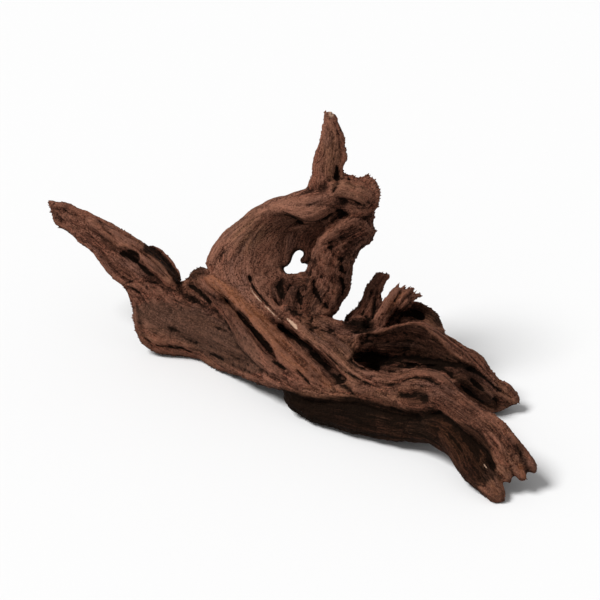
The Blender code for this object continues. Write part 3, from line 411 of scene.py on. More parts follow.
# The wall that curls up and over to form the ring, with the bowl behind it.
RING: list[Limb] = [
    Band(upper=[-24, 141, -34, 152, -45, 161, -58, 171, -69, 179, -75.4, 187, -75, 192.8,
        -69.6, 203.8, -62.4, 214, -51, 222.4, -40.6, 231.8, -24.6, 240.2, -10.8, 243.8, 3, 250.6,
        12, 256],
        lower=[-4, 142, -12, 149, -19, 157, -22, 167, -20.5, 178, -18, 188, -17, 197, -17, 205,
        -13, 214, -6, 221, 4, 226, 14, 230, 24, 235],
        depth=[-121, -127, -134, -141, -148, -150, -146, -138, -130, -124, -119, -115, -112, -110],
        lower_depth=[-118, -123, -128, -131, -131, -131, -132, -130, -124, -117, -111, -107],
        thick=[6, 8, 9, 9, 9, 9, 9, 9, 9, 10, 10, 10], square=0.75),
    Strand([-14, 147, -121, 3, 5, -27, 157, -126, 4.5, 7, -36, 167, -131, 5, 8,
        -41, 180, -134, 5, 8, -41, 195, -134, 5, 8, -37, 209, -131, 5, 8, -27, 220, -126, 5, 8,
        -14, 227, -120, 5, 7, 0, 232, -114, 5, 7]),
    Strand([-66, 182, -148, 4, 7, -68, 191, -147, 5, 8, -62.5, 202, -141, 5, 8,
        -55, 210.5, -134, 5, 8, -45, 219, -129, 5, 8, -34, 226.5, -124, 5, 8,
        -21, 232.5, -119, 5, 8, -7, 236, -114, 5, 8, 5, 241, -110, 5, 8]),
    Strand([-56, 176, -144, 4, 7, -57, 188, -143, 5, 8, -53, 200, -138, 5, 8, -46, 209, -132, 4, 7,
        -36, 217, -128, 3, 6]),
    Band(upper=[-26, 168, -22, 196, -18, 222, -6, 234, 10, 236], lower=[6, 164, 9, 176, 10, 192,
        14, 204, 26, 222], depth=[-134, -140, -142, -138, -130], thick=[6, 6, 6, 7, 8],
        square=0.6),
    Band(upper=[-28, 237, -16, 240, -4, 243, 8, 246, 20, 248, 34, 250],
        lower=[-24, 229, -12, 229, -4, 225, 4, 221.4, 14, 221.6, 26, 229.5, 36, 237], depth=[-118,
        -111, -104, -100, -98, -99], thick=[6, 8, 9, 9, 8, 7]),
    Strand([16, 222, -116, 4, 6, 24, 228, -112, 5, 7, 34, 235, -108, 5, 7, 42, 240, -106, 4, 6]),
    Strand([-44, 148, -170, 7, 7, -58, 162, -168, 8, 8, -64, 178, -161, 7, 8, -59, 194, -156, 7, 8,
        -49, 209, -148, 8, 8, -34, 221, -139, 8, 8, -16, 229, -131, 8, 8, 4, 236, -124, 8, 8]),
    Strand([-22, 136, -162, 8, 8, -36, 158, -155, 9, 8, -37, 178, -151, 8, 8, -34, 194, -147, 7, 7,
        -26, 208, -143, 7, 7, -12, 218, -140, 7, 7, 6, 224, -134, 7, 8, 24, 226, -128, 7, 8]),
]

# The horn that stands up from the ring, and the ragged crown beside it.
HORN: list[Limb] = [
    Band(upper=[2, 248, 8, 255, 9.6, 260, 9, 266, 10.4, 275, 13.4, 280.3, 14.4, 285.4, 17, 290,
        17.8, 302.6, 19, 310.6],
        lower=[38, 244, 36, 258, 33.6, 264, 33.8, 268, 38.4, 273.6, 37.8, 278, 36.9, 284.4,
        35.6, 292.4, 31.6, 301, 29.4, 308],
        depth=[-110, -106, -103, -101, -99, -97, -96, -95],
        thick=[11, 11, 11, 10, 9, 7.5, 6, 4], ends=(0.1, 0)),
    Strand([21, 306, -95, 1.8, 3, 24.5, 309.4, -94, 2, 3, 27, 308, -94, 2, 3]),
    Band(upper=[24, 250, 36.8, 261.6, 41.3, 260.8, 47.4, 256.6, 54.1, 260.8, 56.2, 255.4,
        62, 254.4],
        lower=[28, 234, 38, 230, 48, 226, 56, 227.8, 59.5, 231.2, 61.8, 236.2, 62.8, 243],
        depth=[-106, -103, -103, -106, -110], thick=[9, 10, 10, 9, 6], ends=(0.1, 0.06)),
    Strand([22, 246, -99, 5, 6, 31, 249, -93, 8, 8, 41, 247, -94, 9, 9, 50, 243, -99, 9, 9,
        57, 238, -107, 5, 6]),
    Strand([48, 252, -106, 4, 5, 53, 258, -108, 2.8, 3.6, 54.8, 261.6, -109, 1.3, 2],
        ends=(0.1, 0)),
]

# The hollowed column at the right of the ring, down to the floor.
COLUMN: list[Limb] = [
    Band(upper=[34, 240, 24, 224, 16, 210, 10, 200, 7.6, 190, 5, 183, -2, 176, -10, 166, -15, 156,
        -17, 146],
        lower=[61.8, 240, 59.4, 230, 59.4, 219, 58.4, 211, 55.8, 206.6, 46.2, 197.8, 42, 189,
        40.2, 178, 40.4, 170, 36.2, 161, 31.4, 152.6, 28.6, 145.6, 28, 140],
        depth=[-112, -114, -117, -120, -122, -124, -125, -124, -122],
        thick=[10, 11, 12, 12, 12, 12, 12, 12, 11], square=0.8),
    Strand([40, 214, -110, 5, 5, 52, 214, -110, 3.6, 5, 57, 213.6, -110, 2.4, 3,
        60.4, 215.6, -110, 1.9, 2.4, 63.4, 216.6, -110, 1.3, 2], ends=(0.1, 0.04)),
    Strand([12, 203, -114, 5, 6, 24, 210, -110, 8, 8, 38, 217, -106, 10, 9, 50, 223, -106, 9, 8]),
    Strand([-12, 178, -122, 4, 6, -2, 176, -118, 4.5, 6, 9, 174, -116, 4, 6]),
    Strand([-16, 164, -124, 4, 6, -8, 160, -120, 5, 6, -8, 152, -118, 5, 6]),
]

# The rough shelf between the column and the wing.
SHELF: list[Limb] = [
    Band(upper=[-22, 154, -6, 148, 10, 147, 26, 145.6, 38, 144.6, 50, 138, 60, 136, 72, 137],
        lower=[-16, 140, -2, 132, 12, 125, 24, 116, 34, 108, 44, 112, 54, 118, 68, 122],
        depth=[-131, -126, -121, -117, -114, -114, -124],
        lower_depth=[-122, -116, -110, -106, -104, -108, -128],
        thick=[9, 9, 9, 9, 8, 7, 6], square=0.75),
    Strand([30, 112, -106, 4, 6, 37, 119, -105, 4, 6, 42, 126, -105, 4, 6, 49, 132, -106, 3.4, 6,
        60, 134.5, -106, 2.6, 4, 72, 136.5, -106, 2, 3]),
    Strand([38, 141, -124, 5, 6, 46, 141, -122, 7.5, 8, 54, 139, -120, 4, 6]),
]

# The two broken stubs behind the wing, and the hump behind them.
STUBS: list[Limb] = [
    Band(upper=[33, 138, 36, 147, 40.6, 151, 46.4, 153.6, 48.4, 157.6, 50.6, 165.6, 52.8, 171.6,
        57.8, 175.4, 59.4, 179.4, 62.8, 182.4],
        lower=[62, 130, 67, 142, 66, 152, 64.8, 158, 65.6, 165.6, 67.8, 172.2, 70, 176,
        71.6, 179.6], depth=[-132, -137, -140, -141, -142, -143], thick=[9, 8.5, 8, 7, 6.5, 5],
        ends=(0.05, 0)),
    Strand([58, 134, -124, 6, 7, 65, 145, -126, 6, 7, 72, 156, -129, 6, 7, 77.6, 165, -131, 5, 6,
        82.4, 170.6, -132, 2.6, 3.4], ends=(0.1, 0.02)),
    Strand([76, 156, -129, 5, 6, 81, 163, -130, 4.6, 5, 86, 166.4, -132, 3, 3.6,
        92, 169.6, -133, 1.7, 2.2], ends=(0.1, 0)),
    Strand([78, 150, -131, 6, 7, 84, 157, -130, 6, 6, 90, 161.4, -131, 3, 3.4,
        97, 164.2, -133, 1.2, 1.8], ends=(0.1, 0)),
    Band(upper=[70, 152, 82, 158, 93, 159, 100, 155.6, 107.2, 150.8, 112, 144.8, 114.4, 137.6,
        119.2, 131.6], lower=[66, 136, 76, 134, 86, 133, 94, 130, 100, 126, 106, 122], depth=[-146,
        -150, -151, -150, -147, -142], lower_depth=[-140, -142, -142, -140, -136, -132], thick=[8,
        9, 10, 10, 9, 7], square=0.8),
]

# The wing: a lit back, a thin front ridge and a hollow face, over the rear limb.
WING: list[Limb] = [
    Band(upper=[60, 130, 72, 134, 84, 137.5, 94, 139, 104, 138, 113, 132.6, 120.6, 128, 133, 121.8,
        145, 114, 149.6, 102.2, 156.8, 92.4, 168.8, 88, 176.4, 80.4, 175.6, 76],
        lower=[54, 132, 64, 132.6, 72, 135.8, 86.4, 139.6, 95.2, 140, 100, 137.6, 108, 131,
        124, 116.8, 138.4, 107, 148, 95.6, 157, 86.6, 165, 77.8, 170, 73.6],
        depth=[-116, -122, -125, -126, -127, -128, -128, -128, -126, -124],
        lower_depth=[-106, -103, -101, -100, -101, -103, -107, -111, -114, -117],
        thick=[3, 3.4, 3.4, 3.4, 3.6, 4.4, 5.6, 7, 7, 6], square=0.8, ends=(0.12, 0.03)),
    Band(upper=[48, 132, 64, 133.6, 72, 137, 86.4, 140, 95.2, 140, 108, 131, 124, 117, 138.4, 108],
        lower=[42, 121, 56, 118.6, 68, 113, 80, 112, 92, 111, 104, 111, 120, 110, 134, 105.5],
        depth=[-107, -104, -102, -101, -101, -102, -104],
        lower_depth=[-118, -123, -128, -130, -127, -120, -110],
        thick=[5, 5.5, 6, 6, 6, 6, 5], square=0.7),
    Band(upper=[58, 112, 80, 112, 100, 111, 116, 111, 130, 108, 144, 102, 156, 94, 168, 84,
        174, 78.4],
        lower=[66, 92, 84, 92, 104, 92, 118, 88, 128, 81.5, 140, 74.4, 150, 69.2, 156, 69.4,
        166, 73.4, 171, 76],
        depth=[-124, -126, -124, -120, -116, -116, -118, -119],
        lower_depth=[-112, -110, -108, -108, -113, -119, -122, -124],
        thick=[8, 10, 12, 13, 12, 11, 9, 6], square=0.8),
    Strand([118, 95, -104, 4, 6, 128, 96, -102, 5, 7, 138, 92, -103, 5, 7, 147, 85, -106, 5, 7,
        154, 79, -110, 4, 6]),
]

# The solid heart of the root and the ridges and foot of its back.
BACK: list[Limb] = [
    Strand([-118, 150, -196, 10, 9, -95, 148, -188, 16, 12, -68, 140, -176, 21, 16,
        -38, 128, -160, 24, 20, -5, 116, -148, 24, 22, 35, 108, -138, 22, 20,
        75, 104, -132, 18, 16, 110, 96, -124, 13, 13, 140, 88, -118, 8, 9]),
    Strand([-20, 176, -142, 12, 10, -10, 150, -142, 18, 14, 6, 128, -138, 20, 16,
        30, 112, -128, 18, 16]),
    Strand([30, 132, -136, 12, 12, 60, 128, -132, 12, 12, 90, 124, -130, 12, 12,
        120, 112, -124, 9, 10]),
    Strand([-16, 118, -136, 8, 8, 4, 107, -127, 9, 9, 24, 97, -117, 9, 9, 50, 92, -104, 13, 12,
        80, 86, -94, 12, 12, 104, 80, -82, 10, 12, 124, 66, -66, 10, 10]),
    Strand([-74, 176, -166, 8, 9, -54, 162, -164, 12, 12, -30, 148, -158, 14, 13,
        -4, 138, -152, 14, 12, 26, 130, -146, 12, 12, 54, 128, -142, 9, 10]),
    Strand([-126, 172, -200, 5, 6, -104, 162, -202, 7, 8, -76, 152, -196, 8, 9,
        -42, 138, -184, 9, 9, -6, 124, -172, 9, 9, 30, 114, -162, 8, 9, 66, 106, -152, 8, 8,
        100, 99, -142, 7, 7, 132, 91, -130, 6, 6, 156, 84, -123, 4, 5]),
    Strand([-88, 126, -196, 6, 6, -56, 120, -188, 7, 8, -22, 111, -176, 8, 8, 14, 100, -160, 8, 9,
        50, 91, -142, 8, 8, 84, 84, -128, 7, 7]),
    Strand([-56, 140, -166, 10, 10, -30, 132, -172, 12, 11, -6, 124, -182, 11, 10,
        12, 116, -191, 9.5, 8.5, 24, 110.5, -197, 7, 7, 31, 107, -199, 5, 6]),
    Strand([-70, 142, -182, 6, 7, -46, 133, -186, 7, 7, -22, 123, -192, 7, 6.5,
        -4, 115, -197, 6, 6, 6, 110, -200, 4.5, 5.5]),
    Strand([52, 112, -154, 7, 7, 36, 114, -166, 8, 8, 24, 114, -178, 8, 8, 20, 112, -188, 7, 7]),
    Strand([108, 146, -150, 5, 6, 100, 138, -154, 8, 8, 86, 128, -154, 9, 8, 66, 118, -152, 9, 8,
        42, 112, -152, 8, 8]),
    Strand([58, 150, -144, 6, 6, 56, 138, -148, 8, 8, 46, 126, -152, 8, 8, 28, 118, -154, 8, 8]),
    Strand([26, 214, -128, 8, 8, 30, 196, -134, 9, 9, 24, 176, -138, 10, 9, 18, 156, -142, 11, 10,
        14, 138, -148, 10, 10]),
    Strand([24, 286, -103, 4, 6, 22, 268, -110, 6, 7, 26, 252, -116, 8, 8, 34, 236, -122, 8, 8,
        36, 220, -126, 7, 8]),
]


HOLE: Row = [0.4, 200.6, 3.6, 197.4, 2.2, 195, -0.4, 192.6, 1.2, 188.8, 5, 189.4, 8.6, 192.6,
    5.6, 186.6, 4.6, 183, 0, 181.6, -4.8, 179.6, -10, 180.4, -15.4, 186, -9.6, 186.6, -6.8, 190.4,
    -5.6, 195.6, -3, 199.4]


# The slots, pits and knot holes that are cut into the skin.
HOLLOWS: list[Limb] = [
    Strand([-50, 150, -136, 0.5, 6, -39.3, 138.6, -127, 1.4, 10, -30.7, 129, -119, 1.5, 10,
        -24, 121, -112, 0.7, 5]),
    Strand([-22, 111, -110, 0.9, 5, -17.6, 108.6, -107, 1.5, 6, -11, 103.3, -103, 0.8, 4]),
    Strand([-143.6, 198, -176, 2, 4, -139, 197.4, -173, 4.6, 9, -133.6, 195, -172, 4.8, 8,
        -128.6, 190.4, -171, 2.2, 4]),
    Strand([-17, 180, -119, 3, 6, -16, 171, -117, 5.5, 12, -14, 162, -116, 4, 10,
        -12, 155, -116, 2, 5]),
    Strand([14, 166, -108, 1.6, 4, 17, 158, -107, 3.4, 7, 21, 152, -108, 2, 4]),
    Strand([39, 112, -96, 2, 6, 46, 112, -98, 5.5, 12, 56, 112, -104, 6, 12,
        68, 109, -108, 2.4, 10, 92, 107, -104, 2, 9, 118, 107.5, -98, 1.8, 8,
        138, 102, -96, 1.4, 6]),
    Strand([134, 98.5, -97, 1.4, 5, 142, 93, -97, 2.2, 8, 149, 87, -100, 1, 5]),
    Strand([82, 151, -134, 3, 6, 90, 149, -134, 4.5, 9, 100, 146, -138, 2, 5]),
    Strand([-203, 233.4, -199, 2.4, 4, -199.4, 232.4, -199, 1.9, 4, -196, 231, -199, 1, 3]),
    Strand([-200, 224.6, -199, 1.8, 4, -197.4, 224.4, -199, 1.3, 4]),
    Strand([-193.6, 234, -196, 1.6, 3, -190, 231, -194, 1.2, 3]),
]


def rough_limbs() -> list[tuple[Limb, float]]:
    """Return every limb that the skin is fused from, with how rough its wood is."""
    groups = (
        (ARM, 0.45), (SLAB, 0.6), (ROPES, 0.45), (FRONT_LIMB, 0.45), (BELLY, 0.4), (RING, 0.15),
        (HORN, 0.6), (COLUMN, 1.0), (SHELF, 1.0), (STUBS, 0.8), (WING, 0.5), (BACK, 0.5),
    )
    return [(limb, rough) for group, rough in groups for limb in group]


class Lofts:
    """Closed lofts of many limbs, gathered into one mesh."""

    sides = 24

    def __init__(self, step: float) -> None:
        """Start with no limb; step is the distance between sections in millimetres."""
        self.step = step
        self.spots: list[Array] = []
        self.faces: list[tuple[int, ...]] = []
        self.count = 0

    def add(self, limb: Limb, seed: int) -> None:
        """Add one limb with fluted sides and rounded ends.

        Args:
            limb: the limb.
            seed: the seed of its flutes.
        """
        chance = np.random.default_rng(seed)
        track = limb.track(self.step)
        count = len(track.centre)
        along = np.linspace(0.0, 1.0, count)[:, None]
        angles = np.linspace(0.0, 2 * math.pi, self.sides, endpoint=False)[None, :]
        relief = np.zeros((count, self.sides))
        for ribs in (3, 5, 7):
            phase, drift = chance.uniform(0, 2 * math.pi), chance.uniform(-2.5, 2.5)
            relief += np.cos(ribs * angles + phase + drift * along)
        across = np.sign(np.cos(angles)) * np.abs(np.cos(angles)) ** limb.square
        out = np.sign(np.sin(angles)) * np.abs(np.sin(angles)) ** limb.square
        scale = track.swell[:, None] * (1 + limb.flutes * relief * np.abs(np.sin(angles)))
        thick = track.thick[:, None] * track.normal()
        rings = track.centre[:, None, :] + (scale * across)[:, :, None] * track.width[:, None, :]
        rings = rings + (scale * out)[:, :, None] * thick[:, None, :]
        hubs = np.stack((rings[0].mean(axis=0), rings[-1].mean(axis=0)))
        self.spots.append(np.vstack((rings.reshape(-1, 3), hubs)))
        for row in range(count - 1):
            here, there = self.count + row * self.sides, self.count + (row + 1) * self.sides
            for side in range(self.sides):
                after = (side + 1) % self.sides
                self.faces.append((here + side, here + after, there + after, there + side))
        last = self.count + (count - 1) * self.sides
        hub = self.count + count * self.sides
        for side in range(self.sides):
            after = (side + 1) % self.sides
            self.faces.append((self.count + after, self.count + side, hub))
            self.faces.append((last + side, last + after, hub + 1))
        self.count = hub + 2

    def add_plug(self, outline: Row, depths: tuple[float, float]) -> None:
        """Add a prism whose outline runs along the lines of sight.

        Args:
            outline: the outline as across, up.
            depths: the toward of its two ends.
        """
        flat = np.array(outline, float).reshape(-1, 2)
        size = len(flat)
        for depth in depths:
            self.spots.append(PLANE.place(np.column_stack((flat, np.full(size, depth)))))
        near, far = self.count, self.count + size
        for side in range(size):
            after = (side + 1) % size
            self.faces.append((near + side, near + after, far + after, far + side))
        self.faces.append(tuple(range(near + size - 1, near - 1, -1)))
        self.faces.append(tuple(range(far, far + size)))
        self.count += 2 * size

    def make(self, name: str) -> Thing:
        """Return the lofts as one object."""
        mesh = bpy.data.meshes.new(name)
        mesh.from_pydata(np.vstack(self.spots).tolist(), [], self.faces)
        face_outwards(mesh)
        return set_up(name, mesh)


def set_up(name: str, data: bpy.types.ID) -> Thing:
    """Return a new object in the scene."""
    thing = bpy.data.objects.new(name, data)
    bpy.context.scene.collection.objects.link(thing)
    return thing


def face_outwards(mesh: bpy.types.Mesh) -> None:
    """Turn every face of a mesh of closed shells outwards."""
    work = bmesh.new()
    work.from_mesh(mesh)
    bmesh.ops.recalc_face_normals(work, faces=work.faces[:])
    work.to_mesh(mesh)
    work.free()


def bake_modifiers(thing: Thing) -> None:
    """Replace an object's mesh by what its modifiers make of it."""
    depsgraph = bpy.context.evaluated_depsgraph_get()
    made = bpy.data.meshes.new_from_object(thing.evaluated_get(depsgraph))
    thing.modifiers.clear()
    thing.data = made


def change(thing: Thing, kind: str, **settings: object) -> None:
    """Run one modifier over an object's mesh."""
    modifier = thing.modifiers.new(kind.lower(), kind)
    for key, setting in settings.items():
        setattr(modifier, key, setting)
    bake_modifiers(thing)


def remesh(thing: Thing, voxel: float) -> None:
    """Fuse all that the object holds into one skin of even faces."""
    change(thing, "REMESH", mode="VOXEL", voxel_size=voxel, use_smooth_shade=True)


def cut(thing: Thing, cutter: Thing) -> None:
    """Take the cutter's shape away from the object, and remove the cutter."""
    change(thing, "BOOLEAN", operation="DIFFERENCE", solver="EXACT", object=cutter)
    bpy.data.objects.remove(cutter)


def thin_out(thing: Thing, triangles: int) -> None:
    """Bring the object down to a number of triangles."""
    now = sum(len(face.vertices) - 2 for face in thing.data.polygons)
    share = min(1.0, triangles / now)
    change(thing, "DECIMATE", ratio=share, use_collapse_triangulate=True)


def keep_largest_shell(thing: Thing) -> None:
    """Delete every loose shell but the largest, such as the wall of a sealed pocket."""
    skin = Skin(thing.data)
    label = np.arange(len(skin.spots))
    while True:
        lower = label.copy()
        np.minimum.at(lower, skin.edges[:, 0], label[skin.edges[:, 1]])
        np.minimum.at(lower, skin.edges[:, 1], label[skin.edges[:, 0]])
        lower = lower[lower]
        if (lower == label).all():
            break
        label = lower
    names, sizes = np.unique(label, return_counts=True)
    keep = label == names[sizes.argmax()]
    work = bmesh.new()
    work.from_mesh(thing.data)
    stray = [vert for vert, kept in zip(work.verts, keep) if not kept]
    bmesh.ops.delete(work, geom=stray, context="VERTS")
    work.to_mesh(thing.data)
    work.free()


def rows_of(parts: Iterable, key: str, width: int, kind: type = float) -> Array:
    """Return one row for each part of a mesh."""
    rows = np.empty(len(parts) * width, kind)
    parts.foreach_get(key, rows)
    return rows.reshape(-1, width)


class Skin:
    """A mesh's places, normals and edges as arrays, with sums over neighbours."""

    def __init__(self, mesh: bpy.types.Mesh) -> None:
        """Read the mesh."""
        self.mesh = mesh
        self.spots = rows_of(mesh.vertices, "co", 3)
        self.edges = rows_of(mesh.edges, "vertices", 2, np.int64)
        self.degree = np.bincount(self.edges.ravel(), minlength=len(self.spots)).astype(float)

    def normals(self) -> Array:
        """Return the vertex normals."""
        return rows_of(self.mesh.vertex_normals, "vector", 3)

    def blur(self, values: Array, passes: int, share: float = 0.5) -> Array:
        """Ease values over the surface.

        Args:
            values: one row a vertex.
            passes: how many times to ease.
            share: how much of each pass comes from the neighbours.

        Returns:
            The eased values, in the shape of values.
        """
        rows = values.reshape(len(values), -1).astype(float)
        one, two = self.edges.T
        for _ in range(passes):
            eased = np.empty_like(rows)
            for column in range(rows.shape[1]):
                row = rows[:, column]
                total = np.bincount(one, row[two], len(row)) + np.bincount(two, row[one], len(row))
                eased[:, column] = total / np.maximum(self.degree, 1)
            rows = rows * (1 - share) + eased * share
        return rows.reshape(values.shape)

    def keep_within(self, low: Vector, high: Vector) -> None:
        """Press whatever passes a box back on to it, and write the places."""
        self.spots = np.clip(self.spots, np.array(low), np.array(high))
        self.write()

    def write(self) -> None:
        """Put the places back into the mesh."""
        self.mesh.vertices.foreach_set("co", self.spots.ravel())
        self.mesh.update()


class Lattice:
    """Smooth seeded noise in space, from -1 to 1, that repeats after many cells."""

    cells = 64

    def __init__(self, seed: int) -> None:
        """Draw the values at the lattice's corners."""
        self.values = np.random.default_rng(seed).uniform(-1, 1, self.cells**3).astype(np.float32)

    def at(self, spots: Array) -> Array:
        """Return the noise at spots, given in cells."""
        low = np.floor(spots).astype(np.int64)
        part = spots - low
        part = (part * part * (3 - 2 * part)).astype(np.float32)
        low &= self.cells - 1
        high = (low + 1) & (self.cells - 1)
        total = np.zeros(len(spots), dtype=np.float32)
        for corner in range(8):
            index = np.zeros(len(spots), dtype=np.int64)
            weight = np.ones(len(spots), dtype=np.float32)
            for axis in range(3):
                upper = corner >> axis & 1
                index = index * self.cells + (high if upper else low)[:, axis]
                weight *= part[:, axis] if upper else 1 - part[:, axis]
            total += weight * self.values[index]
        return total

    def layered(self, spots: Array, layers: int) -> Array:
        """Return noise with finer and weaker layers added."""
        total, share = np.zeros(len(spots)), 1.0
        for layer in range(layers):
            total += share * self.at(spots * 2.03**layer + 17.0 * layer)
            share *= 0.5
        return total


@dataclass
class Grain:
    """The run of the wood: which limb each vertex belongs to, and where the fibres go."""

    skin: Skin
    cell: float = 0.0025
    margin: float = 0.003
    overrun: float = 0.004
    softness: float = 0.0012
    along: Array = field(init=False)
    tensor: Array = field(init=False)
    rough: Array = field(init=False)

    def __post_init__(self) -> None:
        """Read the run of every limb off its track, and spread it over a grid."""
        spots = self.skin.spots
        count = len(spots)
        self.along = np.zeros((count, 3))
        self.tensor = np.zeros((count, 6))
        self.rough = np.zeros(count)
        best = np.zeros(count)
        for limb, rough in rough_limbs():
            self._read(limb.track(3.0), rough, best)
        self.rough = self.skin.blur(self.rough, 12)
        self._fill_grid()

    def _read(self, track: Track, rough: float, best: Array) -> None:
        """Let one limb claim the vertices near it.

        Args:
            track: the limb's sections.
            rough: how rough its wood is.
            best: the strongest claim on each vertex so far, which is updated.
        """
        spots = self.skin.spots
        half = np.linalg.norm(track.width, axis=1)
        reach = np.maximum(half, track.thick).max() + self.margin
        low, high = track.centre.min(axis=0) - reach, track.centre.max(axis=0) + reach
        near = np.flatnonzero(((spots > low) & (spots < high)).all(axis=1))
        if not len(near):
            return
        away = spots[near, None, :] - track.centre[None, :, :]
        station = (away**2).sum(axis=2).argmin(axis=1)
        away = away[np.arange(len(near)), station]
        path, normal = track.path()[station], track.normal()[station]
        wide = track.width[station] / half[station][:, None]
        arc = np.concatenate(
            ([0.0], np.cumsum(np.linalg.norm(np.diff(track.centre, axis=0), axis=1)))
        )[station]
        run, side, out = ((away * axis).sum(axis=1) for axis in (path, wide, normal))
        across, thick = half[station] * track.swell[station], track.thick[station]
        thick = thick * track.swell[station]
        ratio = np.sqrt((side / across) ** 2 + (out / thick) ** 2)
        gap = np.abs(ratio - 1) * np.minimum(across, thick)
        over = np.maximum(np.abs(run) - self.overrun, 0)
        claim = np.exp(-(gap + over) / self.softness)
        rows, columns = (0, 1, 2, 0, 0, 1), (0, 1, 2, 1, 2, 2)
        self.tensor[near] += claim[:, None] * path[:, rows] * path[:, columns]
        won = claim > best[near]
        best[near[won]] = claim[won]
        self.along[near[won]] = np.column_stack((arc + run, side, out))[won]
        self.rough[near[won]] = rough

    def _fill_grid(self) -> None:
        """Average the run over cells, spread it a little, and keep its main direction."""
        spots = self.skin.spots
        self.low = spots.min(axis=0) - 4 * self.cell
        self.shape = tuple(((spots.max(axis=0) - self.low) / self.cell).astype(int) + 5)
        index = self.index(spots)
        size = int(np.prod(self.shape))
        grid = np.stack([np.bincount(index, self.tensor[:, i], size) for i in range(6)])
        grid = grid.reshape(6, *self.shape)
        for _ in range(3):
            for axis in (1, 2, 3):
                grid = (np.roll(grid, 1, axis) + 2 * grid + np.roll(grid, -1, axis)) / 4
        grid = grid.reshape(6, -1)
        filled = np.flatnonzero(grid[:3].sum(axis=0) > 1e-9)
        xx, yy, zz, xy, xz, yz = grid[:, filled]
        square = np.stack((xx, xy, xz, xy, yy, yz, xz, yz, zz), axis=1).reshape(-1, 3, 3)
        square /= np.trace(square, axis1=1, axis2=2)[:, None, None]
        self.way = np.zeros((size, 3))
        self.way[filled] = np.linalg.eigh(square)[1][:, :, 2]

    def index(self, spots: Array) -> Array:
        """Return each spot's cell."""
        steps = np.clip(((spots - self.low) / self.cell).astype(int), 0, np.array(self.shape) - 1)
        return np.ravel_multi_index(steps.T, self.shape)

    def comb(self, noise: Lattice, lattice: float, reach: float) -> Array:
        """Draw noise out along the run of the wood.

        Args:
            noise: the noise that is drawn out.
            lattice: the size of its cells, in metres.
            reach: how far each way it is drawn, in metres.

        Returns:
            One value a vertex, with a mean of 0 and a spread of 1.
        """
        spots = self.skin.spots
        total = noise.at(spots / lattice).astype(float)
        for way in (1.0, -1.0):
            here = spots.copy()
            last = self.way[self.index(here)] * way
            for step in range(1, COMB_STEPS + 1):
                turn = self.way[self.index(here)]
                flip = (turn * last).sum(axis=1) < 0
                turn = np.where(flip[:, None], -turn, turn)
                here = here + turn * (reach / COMB_STEPS)
                last = turn
                share = 0.5 * (1 + math.cos(math.pi * step / (COMB_STEPS + 1)))
                total += share * noise.at(here / lattice)
        total -= total.mean()
        return total / total.std()


class StainAndShade(Enum):
    """What a mark leaves beside its cut, in the wood's colour and skin.

    DARK is darker wood and painted shade in grooves, slots, hollows and shaded faces. PALE is
    paler wood and painted light on lit walls and ridges. CREAM is pale scars and a painted
    highlight along the slab's rim. WARM and GREY are stained wood. SMOOTH and ROUGH ease and
    roughen the skin, and TORN is where splinters stand.
    """

    DARK = 0
    WARM = 1
    GREY = 2
    CREAM = 3
    SMOOTH = 4
    ROUGH = 5
    PALE = 6
    TORN = 7


DARK, WARM, GREY, CREAM, SMOOTH, ROUGH, PALE, TORN = StainAndShade


@dataclass(frozen=True)
class Mark:
    """A groove, ridge or stretch of stained wood, painted shade and painted light that is seen
    from the sketch's side.

    line is its middle as across, up, reach its half width and depth how far it is cut in,
    all in millimetres. A ridge has a negative depth. crisp is 2 for soft sides and more for
    steep ones. A closed mark fills the outline that its line draws, and reach is its soft edge.
    """

    line: Row
    reach: float
    depth: float
    strength: float
    stain_and_shade: StainAndShade = DARK
    crisp: float = 2.0
    taper: bool = True
    ragged: float = 0.25
    closed: bool = False


def patch(outline: Row, soft: float, stain_and_shade: StainAndShade, strength: float, depth: float = 0.0) -> Mark:
    """Return a mark that fills an outline."""
    return Mark(outline, soft, depth, strength, stain_and_shade, taper=False, closed=True)


@dataclass(frozen=True)
class Face:
    """A seen face that runs smoothly through a few spots.

    outline is a closed line of across, up, spots are across, up, toward, all in
    millimetres. Within soft of the outline the face gives way to its surroundings.
    """

    outline: Row
    spots: Row
    soft: float = 4.0
    limit: float = 9.0


